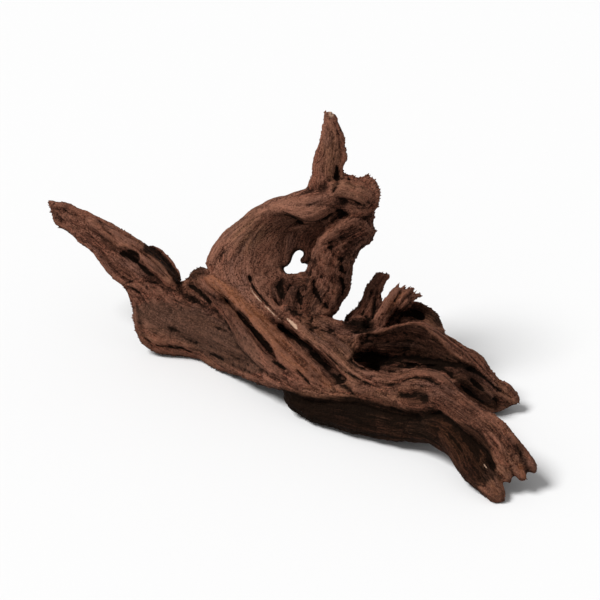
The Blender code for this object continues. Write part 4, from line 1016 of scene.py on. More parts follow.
# The faces that are one smooth sweep in the wood: the ring's bowl, the column, the wing.
FACES: list[Face] = [
    Face(outline=[-28, 239, -42, 227, -55, 212, -62, 196, -60, 176, -48, 160, -36, 150, -26, 152,
        -20, 160, -19, 172, -15, 180, -14, 186, -6, 190, -3, 200, 2, 201, 8, 202, 11, 207, 13, 214,
        4, 218.6, -6, 222, -16, 228, -24, 235],
        spots=[-25, 234, -108, -35, 225, -113, -42, 213, -118, -50, 203, -124, -56, 192, -129,
        -52, 178, -128, -44, 165, -125, -36, 154, -121, -28, 162, -123, -34, 178, -126,
        -36, 196, -125, -28, 210, -124, -20, 222, -118, -26, 190, -129, -22, 174, -129,
        -18, 204, -130, -10, 214, -129, -12, 196, -134, -14, 184, -133, -2, 208, -133,
        6, 212, -131], soft=5.0),
    Face(outline=[8, 199, 14, 208.6, 28, 219, 42, 227, 56, 224, 60, 216, 57, 208, 47, 199,
        42.6, 190, 41, 178, 40.6, 168, 35, 158, 29, 149, 16, 147, 4, 150, -4, 156, -6, 166,
        -6, 176, 8, 181, 11, 190],
        spots=[14, 206, -101, 28, 217, -96, 42, 225, -96, 54, 218, -102, 30, 205, -103,
        44, 207, -106, 16, 192, -106, 30, 190, -109, 38, 182, -115, 14, 178, -109, 28, 172, -113,
        36, 168, -118, 2, 172, -112, 10, 162, -111, 24, 158, -113, 0, 160, -114, 16, 150, -110,
        29, 152, -114], soft=3.0),
    Face(outline=[54.4, 135.4, 63.8, 134, 75.6, 139.8, 89.8, 142, 96.2, 141, 108.6, 131,
        120.4, 118, 139, 106.4, 120, 108.4, 98, 109.4, 80, 112, 64, 113, 52, 118, 48, 126],
        spots=[54, 134, -104, 64, 133, -103, 76, 139, -101, 90, 141, -100, 97, 140, -100,
        108, 130, -102, 120, 117, -105, 138, 107, -108, 60, 124, -109, 76, 127, -109,
        92, 127, -108, 108, 119, -107, 60, 116, -114, 78, 114, -116, 96, 112, -115,
        118, 110, -111], soft=1.6),
]


# The slots, cracks, grooves and ridges that show from the sketch's side. A mark without a kind is
# darkened along its line: painted shade in the slots, cracks and grooves.
GROOVES: list[Mark] = [
    # Between the slab and the first rope
    Mark([-89, 172, -84.5, 169, -78, 163.4, -72, 157.6], 1.7, 3, 0.95),
    Mark([-74, 159, -61.4, 151.4, -57.5, 147.2, -54.2, 140.5, -51, 132], 2.6, 1.4, 0.3),
    # The three black slots, painted black inside as shade
    Mark([-66, 168, -58.5, 159.7, -50, 150], 0.7, 1, 0.8),
    patch([-50, 151, -46.4, 149.4, -38.6, 139.4, -31, 131.4, -22.6, 120.6, -22.8, 118.4,
        -26, 121.4, -33, 129, -41, 137.6, -46.4, 144.6], 0.5, DARK, 1, 1.4),
    Mark([-22.5, 111, -18.3, 109.4, -12, 104.6], 1.2, 1.2, 1),
    Mark([-3.2, 104.8, 1.6, 99.2, 8, 92.8], 1.1, 2, 0.95),
    # The thin crack, its pale edge and the scar at its foot
    Mark([-41.4, 179.6, -40.2, 177.6, -39.4, 175], 1.6, 3.5, 1, crisp=3),
    Mark([-40.3, 177, -37.4, 170.2, -28.7, 159.7, -19.2, 149.6, -13, 143.6], 0.8, 2.6, 1),
    Mark([-41.4, 173, -37.8, 166, -29.8, 157.2, -20.6, 148.2, -14, 143.2], 0.75, -0.6, 0.9, CREAM),
    Mark([-12, 146.6, -9.4, 144, -6.6, 141.2, -1.4, 136.6], 1.5, -0.3, 1, CREAM, ragged=1.2),
    Mark([-53.7, 171.2, -51, 169.8, -48.9, 171.4, -42.2, 172.2], 0.6, 0.8, 0.5),
    # Between the tongue and the ropes on its right
    Mark([-17.6, 138.6, -8, 131, 4, 124.4, 12, 117, 18.6, 110.4, 26, 102.6, 33, 95, 40, 88], 3.6,
        1.8, 0.62, ragged=0.7),
    Mark([8, 118, 18.6, 108, 27, 99, 34, 91, 42, 84.6], 2.3, 1.4, 0.9, ragged=0.6),
    Mark([-2, 134, 10, 126, 20, 117.4, 28, 109, 36, 101.6, 46, 95], 1, 1.2, 0.5),
    Mark([14, 124, 24, 114.4, 35.2, 103.2, 46.4, 97.4, 56, 92.6, 64, 90.6], 1.3, 2.2, 0.65),
    Mark([32, 114, 42, 104.6, 52, 98, 64, 93.6, 78, 91.8], 0.8, 1.2, 0.25),
    # On the tongue
    Mark([-46, 154, -34, 143, -20, 130, -6, 116, 6, 106], 0.8, 0.6, 0.25),
    Mark([-24, 132, -12, 121, 0, 110, 12, 99, 22, 90], 0.9, 0.7, 0.3),
    Mark([-20, 139.4, -8, 127.6, 2.4, 119.6, 11.2, 111.6, 20, 99.6, 27.2, 91.6, 34, 83], 1.4, -0.8,
        0.5, WARM),
    # Arm
    Mark([-142.6, 197.4, -138, 196.8, -133.4, 194.2, -130, 191], 4.2, 2, 0.95, crisp=3.4),
    Mark([-131, 190.4, -128, 187.6, -123, 182.6, -117.4, 179.4], 1.8, 2, 0.55),
    Mark([-147, 202, -141, 204, -133, 202.4, -126, 196], 1.5, -1.2, 0.3, WARM),
    Mark([-166, 224, -160, 219, -154, 211, -149, 204.6, -143, 203], 1.6, -1.1, 0.35, WARM),
    Mark([-163, 226, -157, 219, -152, 213, -147, 208], 1.2, 1.2, 0.45),
    Mark([-186, 226, -174, 218, -164, 208, -156, 196, -148, 184], 0.9, 0.5, 0.2),
    Mark([-190, 233.6, -184, 230, -178, 228], 2, 1.6, 0.5),
    Mark([-197, 231, -193, 226, -191, 221], 1.6, 1.4, 0.5),
    Mark([-128, 201, -120, 194, -112, 186, -105, 178], 1.2, 1.8, 0.55),
    Mark([-122, 190.4, -116, 186, -108, 177.6], 1.5, 1.6, 0.45),
    Mark([-141, 172.6, -136, 175, -130, 174, -122, 175.6, -112, 173], 0.9, 1.6, 0.7),
    # Slab
    Mark([-139, 170.4, -133, 168, -127, 165.6], 1.6, 1.6, 0.8),
    Mark([-104, 138, -101, 135], 1.8, 0.8, 0.35, taper=False),
    Mark([-118, 127.6, -105.5, 127, -90, 125, -76.7, 121.7, -62, 116.5, -46, 108], 1.6, -1.5, 0.35,
        WARM),
    Mark([-115, 123, -104, 122.6, -94, 121, -86, 118.4], 1.8, 1.6, 0.6, ragged=0.8),
    Mark([-72, 117, -58, 110, -44, 103, -30, 97], 1.2, 1.2, 0.5),
    Mark([-131, 158, -128, 146, -127, 134, -120, 126], 2, 1, 0.45),
    # Ring
    Mark([-9, 181, -14.6, 186, -8, 188, -6.6, 195, -3, 200, 2, 200], 1.8, 0, 0.85, taper=False),
    Mark([3, 197, 0.6, 193, 3, 189, 8, 192], 1.8, 0, 0.9, taper=False),
    # Painted shade under the lobe's edge
    Mark([-14, 229.6, -3.2, 224.4, 4, 220.6, 12, 221, 20, 225, 26, 229.4], 1.4, 2.4, 0.9),
    Mark([-10, 239, -22, 235.4, -32, 228.6, -38, 219, -41.6, 208, -43, 196], 1.6, -0.8, 0.1, WARM),
    Mark([-27, 234.2, -22, 236.6, -16, 238, -10, 238], 0.7, -0.3, 0.5, CREAM),
    Mark([-49, 184, -48, 200, -41, 212, -31, 221], 2.4, 0.5, 0.16),
    Mark([-37, 184, -38, 178, -36.6, 172], 1.3, 0.8, 0.4),
    Mark([6, 236, 18, 237, 28, 234, 38, 228], 2.6, 1.4, 0.4),
    # Horn and crown
    Mark([26, 246, 29, 254, 30, 262, 29, 268], 2.4, 2.6, 0.75),
    Mark([27, 268, 26.4, 280, 25.6, 296], 0.9, 1.2, 0.5),
    Mark([18, 258, 18.6, 270, 20.4, 284, 22, 300], 0.8, 0.8, 0.35),
    Mark([33, 270, 32, 282, 29.6, 296], 0.8, 0.9, 0.35),
    Mark([38, 262, 40, 254, 46, 250, 52, 250], 1.2, 1.6, 0.5, ragged=0.8),
    Mark([28, 243, 33, 240, 40, 240, 48, 236], 1.3, 1.6, 0.45, ragged=0.8),
    Mark([50, 232, 56, 238, 60, 246], 1.2, 1.4, 0.4, ragged=0.8),
    # Column
    Mark([14.3, 209, 28.5, 219.2, 42.6, 228], 1.6, -1.6, 0.3, WARM),
    Mark([16, 203, 22, 206, 30, 207], 1.6, 1.6, 0.45, ragged=0.8),
    Mark([23, 202, 27, 198, 33, 192, 33, 184, 37, 180], 2.6, 2.2, 0.5, ragged=0.9),
    Mark([17, 197, 22, 189, 21, 180], 2.4, -2, 0.2, WARM),
    Mark([12, 194, 14, 184, 18, 176], 1.4, 1.2, 0.3, ragged=0.9),
    Mark([8, 176, 7.8, 165, 13.3, 156, 26.4, 147.6], 2.4, -2.6, 0.25, WARM),
    Mark([10, 175, 13, 166, 16, 159, 22, 154], 3.4, 2.6, 0.72, ragged=0.9),
    Mark([24, 174, 29, 167, 28, 158], 2.6, -2.4, 0.35, WARM),
    Mark([33, 178, 36, 171, 34, 164], 2.8, 2.4, 0.6, ragged=0.9),
    Mark([-1, 168, -2, 162, 2, 156], 3, 2.2, 0.62, ragged=0.9),
    Mark([-10, 180, -2, 182, 5, 179, 9, 176], 2, -1.8, 0.25, WARM),
    Mark([-8, 175, 0, 174, 5, 171], 1.8, 1.6, 0.45, ragged=0.9),
    Mark([36, 208, 44, 204, 50, 207], 1.4, 1.2, 0.35, ragged=0.8),
    Mark([28, 213, 40, 218, 52, 221], 0.9, 0.9, 0.35),
    Mark([26, 209, 38, 210, 50, 213], 0.9, 0.9, 0.35),
    Mark([4, 166, -4, 150, 10, 144], 1.8, 1.4, 0.4, ragged=0.9),
    Mark([28, 190, 38, 188, 42, 184], 1.6, -1.6, 0.2, WARM),
    # Stubs
    Mark([50, 148, 54, 158, 58, 168, 63, 178], 1, 1.4, 0.5),
    Mark([58, 144, 60, 156, 63, 168], 1.2, 1.6, 0.6),
    Mark([64, 140, 70, 150, 76, 160, 81, 168], 1, 1.8, 0.8),
    Mark([70, 140, 76, 150, 83, 160, 90, 167], 1, 1.8, 0.8),
    Mark([78, 142, 84, 152, 90, 160], 1.2, 2, 0.9),
    # Wing
    Mark([52, 134.4, 64, 134, 76, 139.6, 90, 141.8, 97, 140.4, 109, 130.6, 121, 117.6, 139, 107],
        1, -0.8, 0.5, WARM, taper=False),
    Mark([56, 117, 66, 112.6, 80, 110.6, 92, 108.4, 104, 108.2, 116, 108.6, 128, 107.8,
        138.4, 103.6, 146, 99], 1.7, 1.6, 1.7, crisp=3),
    Mark([100, 139.6, 110, 134, 120, 126, 132, 116.6, 142, 107], 0.9, 1.4, 0.7),
    Mark([108, 139, 118, 131, 130, 122, 142, 111, 150, 100], 0.8, 1.2, 0.6),
    Mark([118, 131, 130, 125, 142, 116, 150, 106], 0.7, 1, 0.5),
    Mark([140, 106, 150, 96, 160, 88, 170, 82], 0.9, 1.4, 0.6),
    Mark([136, 97, 140, 95.6, 144, 91.6, 148, 88], 1.5, 2, 1),
    Mark([142, 86, 150, 82, 160, 79, 168, 77], 1, 1.4, 0.6),
    Mark([116, 100, 128, 98, 138, 91], 1.2, 1.4, 0.6),
    # Front limb
    Mark([42, 112, 53, 106.4, 66, 104, 79, 101.8, 88, 105.6, 95, 108, 103, 106, 115, 105, 124, 95,
        136, 83, 148, 73], 1.8, 3, 0.9, taper=False),
    Mark([70, 91.6, 82, 95, 92, 98, 101, 97, 110, 92.4, 118, 85], 1.1, 1.4, 0.45),
    Mark([56, 99, 68, 98, 78, 97.6], 1.6, 0.8, 0.4),
    Mark([80, 100.4, 90, 103, 101, 102.4, 112, 100, 121, 91.4, 133, 80.6, 147, 71, 161, 61], 1.3,
        -0.8, 0.35, WARM),
    Mark([80, 86, 86, 91, 95, 92.4, 104, 89, 110, 82], 0.9, 0.8, 0.35),
    Mark([78, 80, 86, 75.6, 97, 74, 106, 76], 0.8, 0.7, 0.3),
    Mark([104, 79, 116, 80.6, 126, 76, 138, 68, 150, 58, 162, 46], 1, 1, 0.35),
    Mark([118, 86, 130, 76, 142, 68, 156, 56, 168, 44, 178, 32], 0.9, 0.8, 0.3),
    Mark([100, 71, 112, 73.4, 120, 67.8, 129.6, 60.4, 137, 54, 145, 49.6, 151, 42.4, 155, 35.2,
        157, 27], 1.5, -1.2, 0.3, WARM),
    Mark([130, 19, 140, 13.2, 148, 10.6], 1.3, 2, 0.8),
    Mark([147.2, 28, 149.4, 25.8, 151.6, 23.4], 0.5, 0, 0.8, CREAM, taper=False),
    Mark([120, 52, 128, 42, 134, 30], 1.3, 1.4, 0.5),
    Mark([134, 46, 141, 36, 146, 24, 154, 12], 1.3, 1.2, 0.5),
    Mark([174, 42, 178, 34, 180.6, 28, 183, 22], 2.3, 0.9, 0.75, taper=False, ragged=0.7),
    Mark([163, 36, 168, 28, 171, 20], 1, 0.9, 0.4, ragged=0.8),
    Mark([176, 26, 179, 20, 181, 16], 2.2, 0, 1, WARM, taper=False),
    Mark([150, 60, 160, 49, 167, 38], 0.9, 1.2, 0.5),
    Mark([136, 66, 148, 56, 158, 44], 1.2, 1.4, 0.5),
    # Rim over the belly
    Mark([-14, 89, 8, 82.4, 20, 81.2, 32, 81, 40, 81.8, 48, 80.4, 60, 77.2, 68, 74.8, 76, 71.6,
        82, 70, 96, 69.2, 106.4, 72.4, 113, 73.6], 1.3, -0.8, 0.25, WARM, taper=False),
    Mark([-10, 84, 8, 78.4, 20, 77, 40, 77.6, 60, 72.6, 80, 66, 97, 65, 108, 68], 1.5, 1.6, 0.9,
        taper=False),
]


# The broad stretches of stained wood, painted shade and painted light that show from the sketch's
# side.
WASHES: list[Mark] = [
    # Belly: painted shade on the underside, with grey and warm stained wood
    patch([-14, 88, 8, 81.4, 20, 80.4, 40, 80.8, 60, 76.4, 60, 49, 40, 52, 24, 56, 8, 60, -7, 70,
        -14, 78], 3, DARK, 1, 0.4),
    patch([-12, 84, 0, 78, 16, 76, 28, 62, 10, 60, -6, 68], 5, DARK, 1.25),
    patch([54, 78, 68, 74, 82, 69.4, 96, 69, 106, 72, 112, 66, 108, 42, 88, 44, 54, 48], 6, DARK,
        0.93),
    Mark([90, 64, 95, 58, 97, 54], 4, 0, 0.8, GREY),
    Mark([104, 60, 112, 56, 118, 50], 6, 0, 0.6, WARM),
    # Thumb: painted shade on its dark side, warm stained wood and a paler tip
    patch([107, 73, 124.5, 62.6, 143.3, 55.8, 151.4, 42.4, 154, 31.2, 156, 20, 148, 14, 140, 16,
        142, 4, 130, 16, 118, 36, 108, 44, 100, 58], 2, DARK, 0.86),
    Mark([143, 8, 150, 2, 158, -3], 2.4, 0, 0.6),
    Mark([153, 12, 157, 5], 2.4, 0, 0.6, WARM, taper=False),
    Mark([148, 14, 158, 8, 163, 0], 6, 0, 0.3, taper=False, ragged=0.8),
    patch([112, 64, 128, 54, 142, 46, 148, 34, 140, 24, 128, 30, 118, 46], 4, WARM, 0.6),
    Mark([130, 50, 140, 42, 146, 32], 3.4, 1.2, 0.98, ragged=0.8),
    Mark([152, 10, 158, 4, 162, -1], 4, -0.6, 0.7, PALE),
    # Wing face, cavity and tray: painted shade on the undercut face, in the cavity and on the tray
    patch([54.4, 133.6, 63.8, 132.6, 75.6, 138.2, 89.8, 140.4, 96.2, 139.2, 108.6, 129,
        120.4, 116.4, 139, 106, 120, 107, 98, 108, 80, 110, 56, 112, 40, 112, 41, 116, 48, 121,
        52, 129], 0.9, DARK, 0.72),
    patch([39.5, 112, 46, 117, 56, 118, 66, 115, 80, 111.5, 72, 109.4, 62, 107, 56, 104.6,
        47, 106], 1.6, DARK, 1, 1.6),
    patch([53, 105, 66, 102.6, 79, 100.4, 88.6, 104.2, 94.5, 107, 103, 105, 114, 104.4, 123, 94,
        136, 82, 148, 71.6, 156, 70.6, 160, 77, 150, 85, 144, 98, 139, 104.6, 120, 107.4, 98, 108,
        80, 110, 60, 110], 1.4, DARK, 0.66),
    patch([84, 105, 95, 109, 114, 106, 126, 93, 140, 82, 136, 92, 120, 103, 100, 108], 2, DARK,
        0.85),
    Mark([150, 80, 160, 76, 168, 74], 4, 0, 0.4),
    # The ring's shade
    patch([-14, 216, -4, 220, 6, 216, 14, 214, 11, 205, 2, 203, -4, 206], 3, DARK, 0.14),
    Mark([14, 224, 24, 231, 34, 237], 4, 0, 0.3),
    # Column: painted shade down its right side and in its hollows
    Mark([40, 200, 37, 186, 36, 172, 31, 156], 6, 0, 0.5),
    Mark([-14, 177, -16, 170, -13, 161], 4, 0.6, 1, crisp=3),
    patch([-10, 176, 6, 176, 10, 164, 8, 152, -8, 154], 4, DARK, 0.55),
    Mark([14, 172, 18, 164, 24, 158], 4, 0, 0.5),
    # Stubs and hump
    Mark([44, 144, 52, 154, 60, 176], 8, 0, 0.16, crisp=4, taper=False),
    Mark([39, 142, 46, 141, 54, 139], 6.6, 0.8, 1, crisp=4, taper=False),
    Mark([74, 148, 86, 151, 98, 150], 6, 1.2, 0.8, crisp=3, taper=False, ragged=0.6),
    Mark([90, 156, 98, 152, 106, 147, 111, 140], 7, 0, 0.8, crisp=3),
    Mark([70, 150, 77, 160, 84, 167], 3, 0, 0.6, WARM),
    # Front limb: its dark eye, painted shade on the rear limb under the wing, and painted shadow
    # along the first rope
    patch([84, 82, 88, 86, 95, 86.4, 99, 83, 96, 79, 89, 79], 6, DARK, 0.6, 1.8),
    Mark([81, 85, 86, 82.6], 3.4, 1.2, 1, taper=False, ragged=0.9),
    Mark([92, 85.4, 96, 84, 100, 81], 3.6, 1.4, 1, taper=False, ragged=0.9),
    Mark([88, 78.4, 93, 78], 2.2, -1.6, 0.3, WARM, taper=False),
    patch([106, 84, 118, 90, 130, 80, 138, 68, 128, 62, 114, 68], 5, DARK, 0.44),
    Mark([138, 72, 152, 59, 164, 47, 174, 36], 3.4, 0.6, 0.34, ragged=1),
    Mark([150, 50, 160, 40, 166, 30], 2, 0.6, 0.34, ragged=1),
    Mark([146, 75, 160, 62, 172, 50, 182, 38], 1.8, -0.5, 0.6, WARM, ragged=0.8),
    Mark([-72, 164, -58, 150, -48, 133, -38, 119], 5, 0, 0.24),
    # Ropes and slab: warm and grey stained wood, painted shadow beside the first rope and a band
    # of painted shade on the slab
    Mark([-74, 178, -60, 167, -48, 156, -36, 145, -24, 132, -8, 116, 8, 103, 24, 92], 8, 0, 0.85,
        WARM, 4),
    Mark([-132, 150, -112, 147, -92, 140, -70, 130, -50, 118, -34, 106], 17, 0, 0.9, GREY, 6),
    patch([-86, 164, -66, 150, -56, 142, -51, 126, -48, 110, -62, 114, -76, 126, -90, 144], 6,
        DARK, 0.34),
    Mark([-100, 135.4, -84, 130, -70, 124], 4, 0.8, 0.35),
    patch([-36, 214, -36, 180, -22, 172, -14, 196, 0, 206, 8, 214, -8, 218, -22, 224], 6, GREY,
        0.15),
    Mark([0, 144, 14, 138, 30, 128, 40, 120], 12, 0, 0.3, crisp=4),
    # Arm: painted shade on the fin behind it, and a darker patch at its lower end
    patch([-123, 206, -112, 198, -103, 188, -94, 176, -97, 171, -102, 179, -108, 187, -116, 194.4,
        -125, 200], 1, DARK, 0.92),
    Mark([-90, 178, -82, 182, -76, 185], 5, 0, 0.75, crisp=4),
    # Horn and crown
    Mark([22, 250, 26, 262, 25, 276, 24, 290], 6, 0, 0.16),
    Mark([25.4, 307.6, 25, 311], 2.6, 0, 0.85, CREAM, 3, taper=False),
    # Paler wood and painted light on the walls and ridges that face the light: the ring's outer
    # wall, the lobe, the crown, the ropes, the wing's back, the slab's rim, the arm and the claw
    Mark([-66, 180, -68, 192, -62, 204, -52, 214, -40, 226, -24, 235, -6, 242], 10, 0, 1, PALE, 4,
        taper=False),
    Mark([-50, 160, -54, 184, -48, 204, -36, 216], 9, 0, 0.6, PALE, 4, taper=False),
    patch([-44, 200, -40, 160, -24, 156, -18, 176, -14, 200, -12, 212, -30, 222], 5, PALE, 0.8),
    patch([-12, 220, 0, 226, 10, 224, 4, 216], 3, PALE, 1),
    patch([50, 124, 60, 124, 72, 122, 70, 118, 56, 118], 4, PALE, 0.5),
    Mark([-12, 234, 4, 230, 18, 232], 6, 0, 0.5, PALE, 3, taper=False),
    patch([30, 254, 40, 262, 56, 258, 62, 246, 60, 234, 46, 232, 32, 240], 4, PALE, 1.2),
    Mark([20, 212, 34, 216, 48, 218, 56, 214], 5, 0, 0.5, PALE, 3, taper=False),
    Mark([28, 226, 36, 230, 46, 232], 5, 0, 0.24, crisp=3),
    Mark([-2, 138, 8, 130, 20, 121, 28, 113, 36, 106, 44, 99.6, 56, 93], 4, 0, 0.9, PALE,
        ragged=0.5),
    Mark([28, 121, 38, 112, 48, 103, 60, 98, 72, 97, 84, 98, 96, 102, 108, 100], 3.4, 0, 1, PALE,
        ragged=0.5),
    Mark([100, 146, 112, 138, 122, 129, 134, 119, 146, 108, 156, 94], 8, 0, 1, PALE, 3),
    Mark([158, 88, 168, 82, 172, 78], 4, 0, 0.6, PALE),
    Mark([-132, 130, -118, 127.4, -100, 126.6, -80, 122.4, -62, 116.6, -46, 108], 2.2, 0, 1, PALE,
        ragged=0.6),
    Mark([-118, 120, -96, 117, -76, 113, -56, 103], 2.6, 0, 0.9, PALE, ragged=0.6),
    # A painted highlight along the slab's rim
    Mark([-84, 124, -76, 122, -66, 118.4], 0.9, 0, 0.42, CREAM, ragged=1),
    Mark([-192, 232, -186, 226], 6, 0, 0.8, PALE),
    Mark([-190, 236, -172, 229, -154, 219, -136, 208], 5, 0, 0.5, PALE),
    Mark([160, 58, 170, 48, 180, 36, 186, 28], 7, 0, 0.3, PALE),
    Mark([14, 94, 24, 88, 33, 83], 4, 0, 0.5, PALE),
    Mark([-10, 129, 2.4, 119.6, 11.2, 111.6, 20, 99.6, 27.2, 91.6, 34, 83], 1.5, 0, 1, PALE,
        taper=False, ragged=0.6),
    # Torn ends, where splinters stand
    Mark([-200, 238, -196, 228, -191, 218], 3, 0, 0.7, TORN, 4, taper=False),
    Mark([80, 170, 88, 168, 96, 164], 4, 0, 1, TORN, 4, taper=False),
    Mark([50, 258, 56, 257], 3, 0, 0.5, TORN, 4, taper=False),
    Mark([18, 310, 30, 308], 2.4, 0, 0.7, TORN, 4, taper=False),
]


# The stretches that are smoother or rougher than their limbs.
STRETCHES: list[Mark] = [
    Mark([-40, 160, -46, 180, -44, 204, -30, 222, -12, 232], 20, 0, 1, SMOOTH, 4, taper=False),
    Mark([-20, 170, -20, 196, -12, 207, 0, 211, 10, 212], 11, 0, 1, SMOOTH, 4, taper=False),
    Mark([10, 232, 24, 240, 36, 246], 8, 0, 0.6, SMOOTH, 4, taper=False),
    Mark([-184, 222, -168, 212, -152, 196, -140, 184], 11, 0, 0.8, SMOOTH, 4, taper=False),
    Mark([-6, 152, 8, 149, 20, 147, 28, 146], 5, 0, 0.8, SMOOTH, 4, taper=False),
    Mark([104, 147, 122, 133, 140, 117, 158, 97, 172, 83], 7, 0, 0.55, ROUGH, 4, taper=False),
    Mark([-140, 170, -134, 156, -132, 140, -128, 128, -118, 120], 3.4, 0, 1, ROUGH, 4,
        taper=False),
    Mark([-10, 138, 8, 136, 26, 130, 44, 124], 9, 0, 0.6, SMOOTH, 4, taper=False),
    Mark([-10, 126, 4, 121, 16, 112, 26, 102, 36, 92], 5, 0, 0.5, SMOOTH, 4, taper=False),
    Mark([52, 127, 70, 127, 90, 128, 110, 120, 126, 112], 8, 0, 0.9, SMOOTH, 4, taper=False),
    Mark([84, 82, 94, 83, 104, 81], 10, 0, 0.9, SMOOTH, 4, taper=False),
    Mark([88, 62, 104, 58, 116, 54, 124, 42], 11, 0, 1, SMOOTH, 4, taper=False),
    Mark([-112, 146, -92, 142, -70, 130, -54, 118], 16, 0, 0.9, SMOOTH, 4, taper=False),
    Mark([-200, 234, -194, 230, -190, 224], 7, 0, 1, ROUGH, 4, taper=False),
    Mark([-90, 178, -82, 184, -74, 186], 6, 0, 1, ROUGH, 4, taper=False),
    Mark([40, 262, 54, 260, 62, 248, 60, 222, 50, 204, 40, 184, 36, 162], 5, 0, 1, ROUGH, 4,
        taper=False),
    Mark([112, 60, 120, 50, 128, 36, 140, 22], 8, 0, 0.8, ROUGH, 4, taper=False),
]


def line_gaps(line: Array, spots: Array) -> tuple[Array, Array]:
    """Return each spot's distance from a line, and how far along it the nearest place is."""
    lengths = run_lengths(line)
    best, part = np.full(len(spots), FAR), np.zeros(len(spots))
    for start, end, before, after in zip(line, line[1:], lengths, lengths[1:]):
        span = end - start
        away = spots - start
        along = np.clip(away @ span / (span @ span), 0, 1)
        gap = np.linalg.norm(away - along[:, None] * span, axis=1)
        closer = gap < best
        best[closer] = gap[closer]
        part[closer] = (before + along * (after - before))[closer]
    return best, part


def is_inside(line: Array, spots: Array) -> Array:
    """Return which spots lie inside a closed line."""
    inside = np.zeros(len(spots), dtype=bool)
    for (x1, y1), (x2, y2) in zip(line, line[1:]):
        if y1 != y2:
            crosses = (spots[:, 1] < y1) != (spots[:, 1] < y2)
            inside ^= crosses & (spots[:, 0] < x1 + (spots[:, 1] - y1) * (x2 - x1) / (y2 - y1))
    return inside


def plate(knots: Array, spots: Array, give: float = 20.0) -> Array:
    """Return the height at spots of a thin plate bent near knots of (x, y, height)."""

    def bend(one: Array) -> Array:
        """Return the pull of every knot on each of some places."""
        square = ((one[:, None, :] - knots[None, :, :2]) ** 2).sum(axis=2)
        return square * np.log(np.maximum(square, 1e-9)) / 2

    def level(one: Array) -> Array:
        """Return the terms of a flat plane at some places."""
        return np.column_stack((np.ones(len(one)), one))

    flat = level(knots[:, :2])
    corner = np.zeros((3, 3))
    system = np.block([[bend(knots[:, :2]) + give * np.eye(len(knots)), flat], [flat.T, corner]])
    answer = np.linalg.solve(system, np.append(knots[:, 2], np.zeros(3)))
    return bend(spots) @ answer[:-3] + level(spots) @ answer[-3:]


